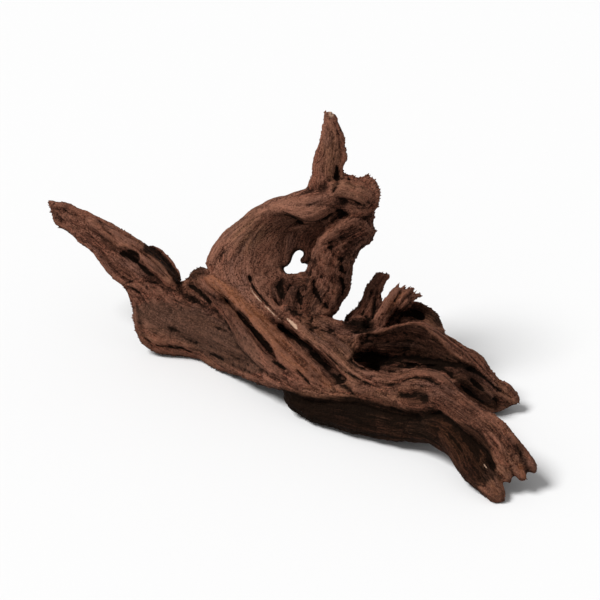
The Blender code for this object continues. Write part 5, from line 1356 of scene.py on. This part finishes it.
@dataclass
class Relief:
    """The shaping of the fused skin: marks on the seen side, grain and pits all round."""

    skin: Skin
    grain: Grain
    depth_step: float = 2.0
    seen_depth: float = 22.0
    stain_and_shade_maps: Array = field(init=False)
    rise: Array = field(init=False)

    def __post_init__(self) -> None:
        """Find what the eye sees, and start with no colour marks, painted shade and light among
        them.
        """
        self.sketch = PLANE.unplace(self.skin.spots)
        facing = self.skin.normals() @ PLANE.axes()[2]
        cells = np.floor(self.sketch[:, :2] / self.depth_step).astype(int)
        cells -= cells.min(axis=0)
        index = cells[:, 0] * (cells[:, 1].max() + 1) + cells[:, 1]
        front = np.full(index.max() + 1, -FAR)
        np.maximum.at(front, index, self.sketch[:, 2])
        behind = front[index] - self.sketch[:, 2]
        self.seen = np.clip(1.6 - behind / self.seen_depth, 0, 1) * np.clip(facing * 3 + 0.8, 0, 1)
        self.seen = self.skin.blur(self.seen, 5)
        self.stain_and_shade_maps = np.zeros((len(self.skin.spots), len(StainAndShade)))
        self.rise = np.zeros(len(self.skin.spots))

    def draw(self, mark: Mark, wobble: Array) -> None:
        """Cut one mark and leave its colour: stained wood, painted shade and painted light.

        Args:
            mark: the groove, ridge or wash.
            wobble: noise that makes its sides ragged, one value a vertex.
        """
        line = mark.line + mark.line[:2] if mark.closed else mark.line
        line = np.array(line, float).reshape(-1, 2)
        margin = 2.2 * mark.reach
        flat = self.sketch[:, :2]
        low, high = line.min(axis=0) - margin, line.max(axis=0) + margin
        boxed = ((flat > low) & (flat < high)).all(axis=1)
        near = np.flatnonzero(boxed & (self.seen > LEAST_SEEN))
        if not len(near):
            return
        best, part = line_gaps(line, flat[near])
        if mark.closed:
            best[is_inside(line, flat[near])] = 0.0
        size = mark.reach * (1 + mark.ragged * wobble[near])
        if mark.taper:
            size = size * (0.3 + 0.7 * np.sqrt(np.clip(np.sin(math.pi * part), 0, 1)))
        share = np.exp(-((best / np.maximum(size, 0.05)) ** mark.crisp)) * self.seen[near]
        self.rise[near] -= mark.depth * MILLIMETRE * share
        column = self.stain_and_shade_maps[:, mark.stain_and_shade.value]
        column[near] = np.maximum(column[near], share * mark.strength)

    def lay(self, face: Face) -> None:
        """Bring one seen face to its smooth sweep, without a change of its outline."""
        line = np.array(face.outline + face.outline[:2], float).reshape(-1, 2)
        near = np.flatnonzero(self.seen > LEAST_SEEN)
        near = near[is_inside(line, self.sketch[near, :2])]
        share = np.clip(line_gaps(line, self.sketch[near, :2])[0] / face.soft, 0, 1)
        share = share**2 * (3 - 2 * share) * self.seen[near]
        goal = plate(np.array(face.spots, float).reshape(-1, 3), self.sketch[near, :2])
        move = np.clip(goal - self.sketch[near, 2], -face.limit, face.limit)
        self.sketch[near, 2] += share * move
        self.skin.spots[near] = PLANE.place(self.sketch[near])

    def level(self, wobble: Array) -> None:
        """Ease the seams between limbs where the wood is one smooth or crumbled face.

        Args:
            wobble: noise that makes the sides of the stretches ragged.
        """
        skin = self.skin
        for face in FACES:
            self.lay(face)
        skin.spots = skin.blur(skin.spots, 3)
        for mark in STRETCHES:
            self.draw(mark, wobble)
        toward = PLANE.axes()[2]
        eased = skin.blur(skin.spots, 110) - skin.spots
        share = skin.blur(self.stain_and_shade_maps[:, SMOOTH.value], 6)[:, None]
        skin.spots += share * (0.35 * eased + 0.65 * (eased @ toward)[:, None] * toward)
        skin.write()

    def shape(self) -> None:
        """Cut all the marks, comb the grain's relief and pit the rough stretches."""
        skin, grain = self.skin, self.grain
        wobble = Lattice(5).layered(skin.spots / 0.006, 2)
        self.level(wobble)
        for mark in GROOVES + WASHES:
            self.draw(mark, wobble)
        normals = skin.normals()
        blend = 0.5 * self.seen[:, None]
        push = normals * (1 - blend) + PLANE.axes()[2] * blend
        push /= np.linalg.norm(push, axis=1)[:, None]
        skin.spots += push * skin.blur(self.rise, 3)[:, None]
        skin.write()
        edge = np.clip(-1.6 * self.hollow() - 0.15, 0, 1)
        broad = grain.comb(Lattice(11), 0.0080, 0.060)
        cord = grain.comb(Lattice(12), 0.0040, 0.040)
        fibre = grain.comb(Lattice(13), 0.0020, 0.024)
        smooth = np.clip(self.stain_and_shade_maps[:, SMOOTH.value], 0, 1)
        rough = np.maximum(grain.rough, self.stain_and_shade_maps[:, ROUGH.value])
        lump = Lattice(14).layered(skin.spots / 0.0085, 3)
        crumb = Lattice(15).layered(skin.spots / 0.0034, 2)
        cloud = Lattice(16).at(skin.spots / 0.030)
        crack = np.clip(cord + 0.5 * fibre + 0.8 * cloud - 2.0, 0, 1.2)
        lift = (0.30 * np.tanh(broad) + 0.20 * np.tanh(cord)) * (1 - 0.8 * smooth)
        lift += 0.11 * fibre + 0.22 * lump * (1 - 0.5 * smooth) + 0.12 * crumb - 0.6 * crack
        lift += rough * (0.7 * lump + 0.5 * rough * lump + 0.5 * crumb)
        pits = 0.9 * np.clip(crumb - 0.45, 0, 1) + 1.2 * rough * np.clip(-lump - 0.6, 0, 1)
        lift -= rough * pits
        lift -= edge * np.clip(crumb + 0.1, 0, 1) * (0.9 + rough)
        skin.spots += normals * (lift * MILLIMETRE)[:, None]
        self.streak = 0.6 * fibre + (0.3 * cord + 0.25 * broad) * (1 - 0.6 * smooth)
        self.crack, self.rough = crack, rough
        # Painted shade on the faces that turn down: the DARK channel grows where the eased normal
        # points downward.
        under = skin.blur(normals[:, 2], 24)
        column = self.stain_and_shade_maps[:, DARK.value]
        np.maximum(column, 0.85 * np.clip(0.1 - under, 0, 1), out=column)

    def hollow(self) -> Array:
        """Return how deep each vertex lies under its surroundings, from 0 to 1."""
        skin = self.skin
        self.skin.write()
        normals = skin.normals()
        total = np.zeros(len(skin.spots))
        eased, done = skin.spots, 0
        for passes, reach in ((8, 0.0003), (45, 0.0012), (160, 0.0032)):
            eased = skin.blur(eased, passes - done)
            done = passes
            total += np.clip(((eased - skin.spots) * normals).sum(axis=1) / reach, -0.6, 1.4)
        return total / 3


class Signal:
    """A socket of a node tree, with arithmetic that adds Math nodes."""

    def __init__(self, tree: "Tree", socket: bpy.types.NodeSocket) -> None:
        """Wrap a socket of a tree."""
        self.tree = tree
        self.socket = socket

    def _math(self, operation: str, *values: "Signal | float", clamp: bool = False) -> "Signal":
        """Return the outcome of one Math node."""
        settings = {"operation": operation, "use_clamp": clamp}
        return self.tree.node("ShaderNodeMath", settings, dict(enumerate(values)))

    def __add__(self, other: "Signal | float") -> "Signal":
        """Return the sum."""
        return self._math("ADD", self, other)

    __radd__ = __add__

    def __sub__(self, other: "Signal | float") -> "Signal":
        """Return the difference."""
        return self._math("SUBTRACT", self, other)

    def __rsub__(self, other: float) -> "Signal":
        """Return the difference with the signal second."""
        return self._math("SUBTRACT", other, self)

    def __mul__(self, other: "Signal | float") -> "Signal":
        """Return the product."""
        return self._math("MULTIPLY", self, other)

    __rmul__ = __mul__

    def clamp(self) -> "Signal":
        """Return the signal kept between 0 and 1."""
        return self._math("ADD", self, 0.0, clamp=True)

    def size(self) -> "Signal":
        """Return the signal without its sign."""
        return self._math("ABSOLUTE", self)

    def power(self, exponent: float) -> "Signal":
        """Return the signal raised to a power."""
        return self._math("POWER", self, exponent)

    def span(self, low: float, high: float) -> "Signal":
        """Return 0 at low and 1 at high, eased between them."""
        settings = {"interpolation_type": "SMOOTHSTEP"}
        values = {"Value": self, "From Min": low, "From Max": high}
        return self.tree.node("ShaderNodeMapRange", settings, values)


class Tree:
    """A node tree, with one way to add any node."""

    def __init__(self, group: bpy.types.NodeTree) -> None:
        """Wrap a tree."""
        self.group = group

    def put(self, target: bpy.types.NodeSocket, value: "Signal | float | str | tuple") -> None:
        """Give a socket a value or a link."""
        if isinstance(value, Signal):
            self.group.links.new(value.socket, target)
        elif isinstance(value, tuple) and len(value) == 3 and target.type == "RGBA":
            target.default_value = (*value, 1.0)
        else:
            target.default_value = value

    def node(self, kind: str, settings: dict, values: dict, output: int | str = 0) -> Signal:
        """Add a node.

        Args:
            kind: the node's type.
            settings: its settings, which are set first.
            values: the value or link of each input, by name or place.
            output: the output that is wanted.

        Returns:
            The output as a signal.
        """
        made = self.group.nodes.new(kind)
        for key, setting in settings.items():
            setattr(made, key, setting)
        for key, value in values.items():
            self.put(made.inputs[key], value)
        return Signal(self, made.outputs[output])

    def vector(self, operation: str, one: "Signal | tuple", two: "Signal | tuple") -> Signal:
        """Return the outcome of one Vector Math node."""
        return self.node("ShaderNodeVectorMath", {"operation": operation}, {0: one, 1: two})


class Shader(Tree):
    """A material's node tree."""

    def __init__(self, name: str) -> None:
        """Start a material with an empty Principled BSDF."""
        self.material = bpy.data.materials.new(name)
        self.material.use_nodes = True
        super().__init__(self.material.node_tree)
        self.bsdf = self.group.nodes["Principled BSDF"]

    def attribute(self, name: str, output: str = "Fac") -> Signal:
        """Return an attribute of the mesh."""
        return self.node("ShaderNodeAttribute", {"attribute_name": name}, {}, output)

    def mix(self, share: Signal | float, one: "Signal | Tint", two: "Signal | Tint") -> Signal:
        """Return two colours mixed."""
        settings = {"data_type": "RGBA", "clamp_factor": True}
        return self.node("ShaderNodeMix", settings, {0: share, 6: one, 7: two}, 2)

    def noise(self, where: Signal, scale: float, detail: float, rough: float = 0.5) -> Signal:
        """Return a noise texture's value."""
        values = {"Vector": where, "Scale": scale, "Detail": detail, "Roughness": rough}
        return self.node("ShaderNodeTexNoise", {}, values)

    def dots(self, where: Signal, scale: float) -> Signal:
        """Return the distance to the nearest of many scattered spots."""
        return self.node("ShaderNodeTexVoronoi", {}, {"Vector": where, "Scale": scale}, "Distance")

    def stretch(self, where: Signal, scale: Triple) -> Signal:
        """Return a place with each of its axes scaled."""
        return self.vector("MULTIPLY", where, scale)


@dataclass(frozen=True)
class WeatheredWood:
    """Dry brown wood, smoothed by water, with fine fibres and pale scars; painted shade darkens
    its hollows, grooves and shaded faces, and painted light brightens its lit walls and ridges.
    """

    deep: Tint = (0.034, 0.0133, 0.0086)
    mid: Tint = (0.130, 0.0515, 0.0325)
    high: Tint = (0.292, 0.130, 0.084)
    warm: Tint = (0.235, 0.082, 0.033)
    red: Tint = (0.235, 0.082, 0.049)
    dusk: Tint = (0.180, 0.088, 0.066)
    olive: Tint = (0.190, 0.100, 0.048)
    grey: Tint = (0.125, 0.066, 0.044)
    murk: Tint = (0.050, 0.026, 0.017)
    spark: Tint = (0.40, 0.185, 0.095)
    black: Tint = (0.0048, 0.0026, 0.0014)
    cream: Tint = (0.56, 0.36, 0.25)
    roughness: float = 0.8

    def build(self) -> bpy.types.Material:
        """Return the material."""
        shader = Shader("weathered_wood")
        grain = shader.attribute("grain", "Vector")
        place = shader.node("ShaderNodeTexCoord", {}, {}, "Object")
        stain_and_shade_maps = shader.attribute("stain_and_shade_maps", "Color")
        parts = shader.node("ShaderNodeSeparateColor", {}, {"Color": stain_and_shade_maps}, "Red")
        split = parts.socket.node
        # dark carries darker wood and painted shade; warm and grey are stained wood
        dark, warm, grey = (Signal(shader, split.outputs[i]) for i in range(3))
        names = ("cream", "pale", "streak", "hollow", "rough")
        cream, pale, streak, hollow, coarse = map(shader.attribute, names)
        uneven = 1.0 - 0.6 * shader.attribute("stain_and_shade_maps", "Alpha")
        fibre = shader.noise(shader.stretch(grain, (45.0, 620.0, 620.0)), 1.0, 4.0, 0.62)
        thread = shader.noise(shader.stretch(grain, (110.0, 1400.0, 1400.0)), 1.0, 2.0)
        band = shader.noise(shader.stretch(grain, (9.0, 120.0, 120.0)), 1.0, 2.0)
        vein = shader.noise(shader.stretch(grain, (9.0, 220.0, 220.0)), 1.0, 3.0, 0.6)
        tint = shader.noise(shader.stretch(grain, (16.0, 80.0, 80.0)), 1.0, 3.0, 0.6)
        mottle = shader.noise(place, 34.0, 4.0, 0.62)
        speck = shader.noise(place, 560.0, 3.0, 0.65)
        grit = shader.noise(place, 900.0, 2.0, 0.6)
        hue = shader.noise(place, 16.0, 2.0)
        dots = shader.dots(place, 430.0).span(0.3, 0.14) * mottle.span(0.4, 0.6)
        line = 1.0 - (vein - 0.5).size().span(0.0, 0.024)
        line = line * mottle.span(0.42, 0.62) * (1.0 - grey)
        tone = 0.15 * streak + 1.1 * (band - 0.5) + 1.5 * (mottle - 0.5)
        tone = 0.5 + tone * uneven + 1.6 * (fibre - 0.5) + 1.7 * (thread - 0.5)
        tone = tone + 1.1 * (speck - 0.5) + 2.0 * (grit - 0.5)
        base = shader.mix(tone.span(-0.1, 0.55), self.deep, self.mid)
        base = shader.mix(tone.span(0.5, 1.15), base, self.high)
        # pale carries paler wood and painted light on the walls and ridges that face the light
        base = shader.mix(pale * tone.span(0.1, 0.8), base, self.high)
        base = shader.mix(warm * (0.4 + 0.8 * tone), base, self.warm)
        base_red = shader.mix(tone.span(0.1, 1.0), self.deep, self.red)
        base_dusk = shader.mix(tone.span(0.0, 1.0), self.deep, self.dusk)
        base_olive = shader.mix(tone.span(0.0, 1.0), self.deep, self.olive)
        base = shader.mix(hue.span(0.5, 0.62) * 0.45 * (1.0 - warm), base, base_olive)
        base = shader.mix((tint.span(0.5, 0.62) * 0.55 + coarse * 0.4).clamp(), base, base_red)
        base = shader.mix(tint.span(0.5, 0.38) * 0.6 * (1.0 - warm), base, base_dusk)
        ashen = shader.mix(speck.span(0.25, 0.75), self.murk, self.grey)
        base = shader.mix(grey * 0.75, base, ashen)
        # Lighter on raised edges and ridges, where the hollow map falls below zero, less on dark
        # marks
        raised_edges = (0.0 - hollow).span(0.08, 0.5)
        base = shader.mix(raised_edges * 0.35 * (1.0 - dark), base, self.high)
        # Painted shade: the hollow map darkens hollows and creases, and with the dark marks, the
        # darker wood and the grain's lines it mixes the colour towards black.
        crevice_shade = (hollow + 0.6 * (0.5 - fibre)).span(0.12, 0.75)
        shade_and_dark_wood = (dark * (1.3 - 0.6 * fibre) + 0.62 * crevice_shade + 0.3 * line).clamp()
        base = shader.mix(shade_and_dark_wood * 0.97, base, self.black)
        base = shader.mix(speck.span(0.6, 0.72) * 0.4 * (1.0 - shade_and_dark_wood), base, self.high)
        base = shader.mix(dots * (0.3 + 0.6 * warm) * (1.0 - shade_and_dark_wood), base, self.spark)
        # cream carries pale scars and a painted highlight along the slab's rim
        ragged = (cream * (fibre + 0.5 * thread + 0.4 * mottle - 0.35)).span(0.2, 0.5)
        base = shader.mix(ragged, base, self.cream)
        shader.put(shader.bsdf.inputs["Base Color"], base)
        rough = self.roughness + 0.12 * (mottle - 0.5) + 0.1 * shade_and_dark_wood
        shader.put(shader.bsdf.inputs["Roughness"], rough)
        shader.put(shader.bsdf.inputs["Specular IOR Level"], 0.04)
        height = fibre + thread * 0.5 + speck * (0.4 + 0.5 * coarse) + grit * 0.25 - 0.25 * line
        bump = {"Height": height, "Strength": 1.0, "Distance": 0.0017}
        shader.put(shader.bsdf.inputs["Normal"], shader.node("ShaderNodeBump", {}, bump))
        return shader.material


class Torn(Tree):
    """The geometry tree that sets crumbs and splinters on a rough skin."""

    def __init__(self) -> None:
        """Build the tree, with its inputs and its outcome named."""
        super().__init__(bpy.data.node_groups.new("torn_wood", "GeometryNodeTree"))
        sockets = (
            ("Skin", "INPUT", "NodeSocketGeometry"), ("Crumbs", "INPUT", "NodeSocketFloat"),
            ("Splinters", "INPUT", "NodeSocketFloat"), ("Seed", "INPUT", "NodeSocketInt"),
            ("Wood", "INPUT", "NodeSocketMaterial"), ("Pieces", "OUTPUT", "NodeSocketGeometry"),
        )
        for name, way, kind in sockets:
            self.group.interface.new_socket(name, in_out=way, socket_type=kind)
        self.given = self.group.nodes.new("NodeGroupInput")
        crumb = self.node("GeometryNodeMeshIcoSphere", {}, {"Radius": 1.0, "Subdivisions": 1})
        spike = self.node("GeometryNodeMeshCone", {}, {"Vertices": 5, "Radius Top": 0.05,
                                                      "Radius Bottom": 1.0, "Depth": 1.0})
        run = self.trait("run", "FLOAT_VECTOR")
        many = self.trait("rough").power(3.0) * self.input("Crumbs")
        crumbs = self.scatter(many, crumb, run, 0.3, (0.0003, 0.0003, 0.0006),
                              (0.0008, 0.0006, 0.0018))
        few = self.trait("torn") * self.input("Splinters")
        spikes = self.scatter(few, spike, run, 0.35, (0.0008, 0.0006, 0.002),
                              (0.0017, 0.0012, 0.0048))
        both = self.group.nodes.new("GeometryNodeJoinGeometry")
        for part in (crumbs, spikes):
            self.group.links.new(part.socket, both.inputs[0])
        dressed = self.node("GeometryNodeSetMaterial", {}, {
            "Geometry": Signal(self, both.outputs[0]), "Material": self.input("Wood")})
        self.put(self.group.nodes.new("NodeGroupOutput").inputs["Pieces"], dressed)

    def input(self, name: str) -> Signal:
        """Return one of the tree's inputs."""
        return Signal(self, self.given.outputs[name])

    def trait(self, name: str, kind: str = "FLOAT") -> Signal:
        """Return what the skin's vertices keep under a name."""
        return self.node("GeometryNodeInputNamedAttribute", {"data_type": kind}, {"Name": name},
                         "Attribute")

    def scatter(self, density: Signal, shape: Signal, run: Signal, stray: float,
                small: Triple, large: Triple) -> Signal:
        """Set copies of a shape on the skin, along the run of the wood.

        Args:
            density: how many stand on a square metre.
            shape: the shape, one metre in size.
            run: the direction of the wood.
            stray: how far the copies lean out of the run.
            small: the smallest width, depth and length.
            large: the largest width, depth and length.

        Returns:
            The copies as real geometry.
        """
        spots = self.node(
            "GeometryNodeDistributePointsOnFaces", {"distribute_method": "RANDOM"},
            {"Mesh": self.input("Skin"), "Density": density, "Seed": self.input("Seed")},
        )
        out = Signal(self, spots.socket.node.outputs["Normal"])
        vector = {"data_type": "FLOAT_VECTOR"}
        lean = self.node("FunctionNodeRandomValue", vector,
                         {"Min": (-stray,) * 3, "Max": (stray,) * 3, "Seed": self.input("Seed")})
        lifted = self.vector("ADD", run, self.vector("MULTIPLY", out, (stray,) * 3))
        turn = self.node("FunctionNodeAlignRotationToVector", {"axis": "Z"},
                         {"Vector": self.vector("ADD", lifted, lean)})
        size = self.node("FunctionNodeRandomValue", vector,
                         {"Min": small, "Max": large, "Seed": self.input("Seed")})
        copies = self.node("GeometryNodeInstanceOnPoints", {},
                           {"Points": spots, "Instance": shape, "Rotation": turn, "Scale": size})
        return self.node("GeometryNodeRealizeInstances", {}, {"Geometry": copies})


@dataclass(frozen=True)
class TornWood:
    """The crumbs and splinters that stand on the rough stretches."""

    crumbs: float = 230000.0
    splinters: float = 50000.0
    seed: int = 7

    def build(self, root: Thing, low: Vector, high: Vector) -> Thing:
        """Scatter them over the root.

        Args:
            root: the dressed root.
            low: the lowest corner of the box that they stay in.
            high: its highest corner.

        Returns:
            The crumbs and splinters as one object.
        """
        piece = set_up("torn_wood", root.data)
        tree = Torn()
        scatter = piece.modifiers.new("torn", "NODES")
        scatter.node_group = tree.group
        settings = {"Crumbs": self.crumbs, "Splinters": self.splinters, "Seed": self.seed,
                    "Wood": root.data.materials[0]}
        for socket in tree.group.interface.items_tree:
            if socket.name in settings:
                scatter[socket.identifier] = settings[socket.name]
        bake_modifiers(piece)
        Skin(piece.data).keep_within(low, high)
        return piece


@dataclass(frozen=True)
class PaleFloor:
    """The plain pale floor under the root."""

    tint: Tint = (0.82, 0.82, 0.82)
    size: float = 12.0

    def build(self) -> Thing:
        """Return the floor."""
        half = self.size / 2
        corners = [(-half, -half, 0), (half, -half, 0), (half, half, 0), (-half, half, 0)]
        mesh = bpy.data.meshes.new("floor")
        mesh.from_pydata(corners, [], [(0, 1, 2, 3)])
        floor = set_up("floor", mesh)
        shader = Shader("pale_floor")
        place = shader.node("ShaderNodeTexCoord", {}, {}, "Object")
        cloud = shader.noise(place, 1.5, 1.0)
        base = shader.mix(cloud * 0.04, self.tint, (0.78, 0.78, 0.78))
        shader.put(shader.bsdf.inputs["Base Color"], base)
        shader.put(shader.bsdf.inputs["Roughness"], 0.9)
        mesh.materials.append(shader.material)
        return floor


@dataclass(frozen=True)
class Root:
    """The driftwood itself, from the fused limbs to the dressed mesh."""

    section_step: float = 3.0
    hole_depths: tuple[float, float] = (-60.0, -210.0)
    first_voxel: float = 0.0014
    fine_voxel: float = 0.00115
    triangles: int = 196000

    def build(self, low: Vector, high: Vector) -> Thing:
        """Make the root inside the CAD box.

        Args:
            low: the box's lowest corner.
            high: the box's highest corner.

        Returns:
            The dressed object.
        """
        thing = self._fused()
        skin = Skin(thing.data)
        skin.spots = skin.blur(skin.spots, 2)
        skin.write()
        log.info("skin: %d vertices", len(skin.spots))
        grain = Grain(skin)
        relief = Relief(skin, grain)
        relief.shape()
        hollow = relief.hollow()
        skin.keep_within(low, high)
        smooth = relief.stain_and_shade_maps[:, SMOOTH.value]
        run = grain.way[grain.index(skin.spots)]
        run *= np.sign((run * (skin.spots - np.array(CENTRE))).sum(axis=1))[:, None]
        traits = {
            "grain": grain.along,
            # The first colour channel carries darker wood and painted shade, pale carries paler
            # wood and painted light, cream carries pale scars and a painted highlight, and hollow
            # sets the painted shade in hollows and creases.
            "stain_and_shade_maps": np.column_stack((relief.stain_and_shade_maps[:, :3], smooth)),
            "cream": relief.stain_and_shade_maps[:, CREAM.value],
            "pale": relief.stain_and_shade_maps[:, PALE.value],
            "streak": relief.streak,
            "hollow": hollow + 0.2 * relief.crack,
            "rough": relief.rough * (1 - 0.7 * smooth),
            "torn": relief.stain_and_shade_maps[:, TORN.value],
            "run": run,
        }
        dense = skin.spots.copy()
        thin_out(thing, self.triangles)
        self._carry_over(thing.data, dense, traits)
        thing.data.materials.clear()
        thing.data.materials.append(WeatheredWood().build())
        return thing

    def _fused(self) -> Thing:
        """Fuse the limbs, cut the hollows and even the skin out."""
        lofts = Lofts(self.section_step)
        for seed, (limb, _) in enumerate(rough_limbs()):
            lofts.add(limb, seed)
        thing = lofts.make("weathered_root")
        remesh(thing, self.first_voxel)
        cutters = Lofts(self.section_step)
        for seed, hollow in enumerate(HOLLOWS, start=500):
            cutters.add(hollow, seed)
        cutters.add_plug(HOLE, self.hole_depths)
        cut(thing, cutters.make("cutters"))
        remesh(thing, self.fine_voxel)
        keep_largest_shell(thing)
        return thing

    def _carry_over(self, mesh: bpy.types.Mesh, dense: Array, traits: dict[str, Array]) -> None:
        """Give the thinned mesh what was worked out on the dense one.

        Args:
            mesh: the thinned mesh.
            dense: the dense mesh's places.
            traits: named values, one row a dense vertex.
        """
        tree = KDTree(len(dense))
        for index, spot in enumerate(dense):
            tree.insert(spot, index)
        tree.balance()
        nearest = np.array([tree.find(vert.co)[1] for vert in mesh.vertices])
        kinds = {1: ("FLOAT", "value"), 3: ("FLOAT_VECTOR", "vector"), 4: ("FLOAT_COLOR", "color")}
        for name, rows in traits.items():
            width = rows.shape[1] if rows.ndim > 1 else 1
            kind, key = kinds[width]
            attribute = mesh.attributes.new(name, kind, "POINT")
            attribute.data.foreach_set(key, rows[nearest].astype(np.float32).ravel())


@dataclass(frozen=True)
class Studio:
    """The camera at the photograph's place and the soft lights."""

    lens: float = 120.0
    sensor: float = 36.0
    sun_from: Triple = (-0.85, -0.2, 1.2)
    sun_width: float = 24.0
    sun_power: float = 3.3
    sky: float = 0.36

    def build(self) -> None:
        """Set the camera, the lights and the sky."""
        scene = bpy.context.scene
        aim = Vector(PLANE.aim_spot() * MILLIMETRE)
        camera = bpy.data.cameras.new("camera")
        camera.lens, camera.sensor_width = self.lens, self.sensor
        camera.clip_start = 0.05
        holder = set_up("camera", camera)
        holder.location = Vector(PLANE.eye())
        holder.rotation_euler = (aim - holder.location).to_track_quat("-Z", "Y").to_euler()
        scene.camera = holder
        lamp = bpy.data.lights.new("key", "SUN")
        lamp.angle, lamp.energy = math.radians(self.sun_width), self.sun_power
        holder = set_up("key", lamp)
        holder.rotation_euler = (-Vector(self.sun_from)).to_track_quat("-Z", "Y").to_euler()
        world = bpy.data.worlds.new("sky")
        world.use_nodes = True
        sky = world.node_tree.nodes["Background"]
        sky.inputs["Color"].default_value = (1.0, 1.0, 1.0, 1.0)
        sky.inputs["Strength"].default_value = self.sky
        scene.world = world
        scene.view_settings.view_transform = "Standard"


def main() -> None:
    """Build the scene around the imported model."""
    logging.basicConfig(level=logging.INFO, format="%(name)s: %(message)s")
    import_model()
    low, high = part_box(NODE)
    root = Root().build(low, high)
    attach(root, BODY)
    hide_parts(NODE)
    torn = TornWood().build(root, low, high)
    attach(torn, BODY)
    for piece in (root, torn):
        log.info("%s: %d faces", piece.name, len(piece.data.polygons))
    PaleFloor().build()
    Studio().build()


if __name__ == "__main__":
    main()
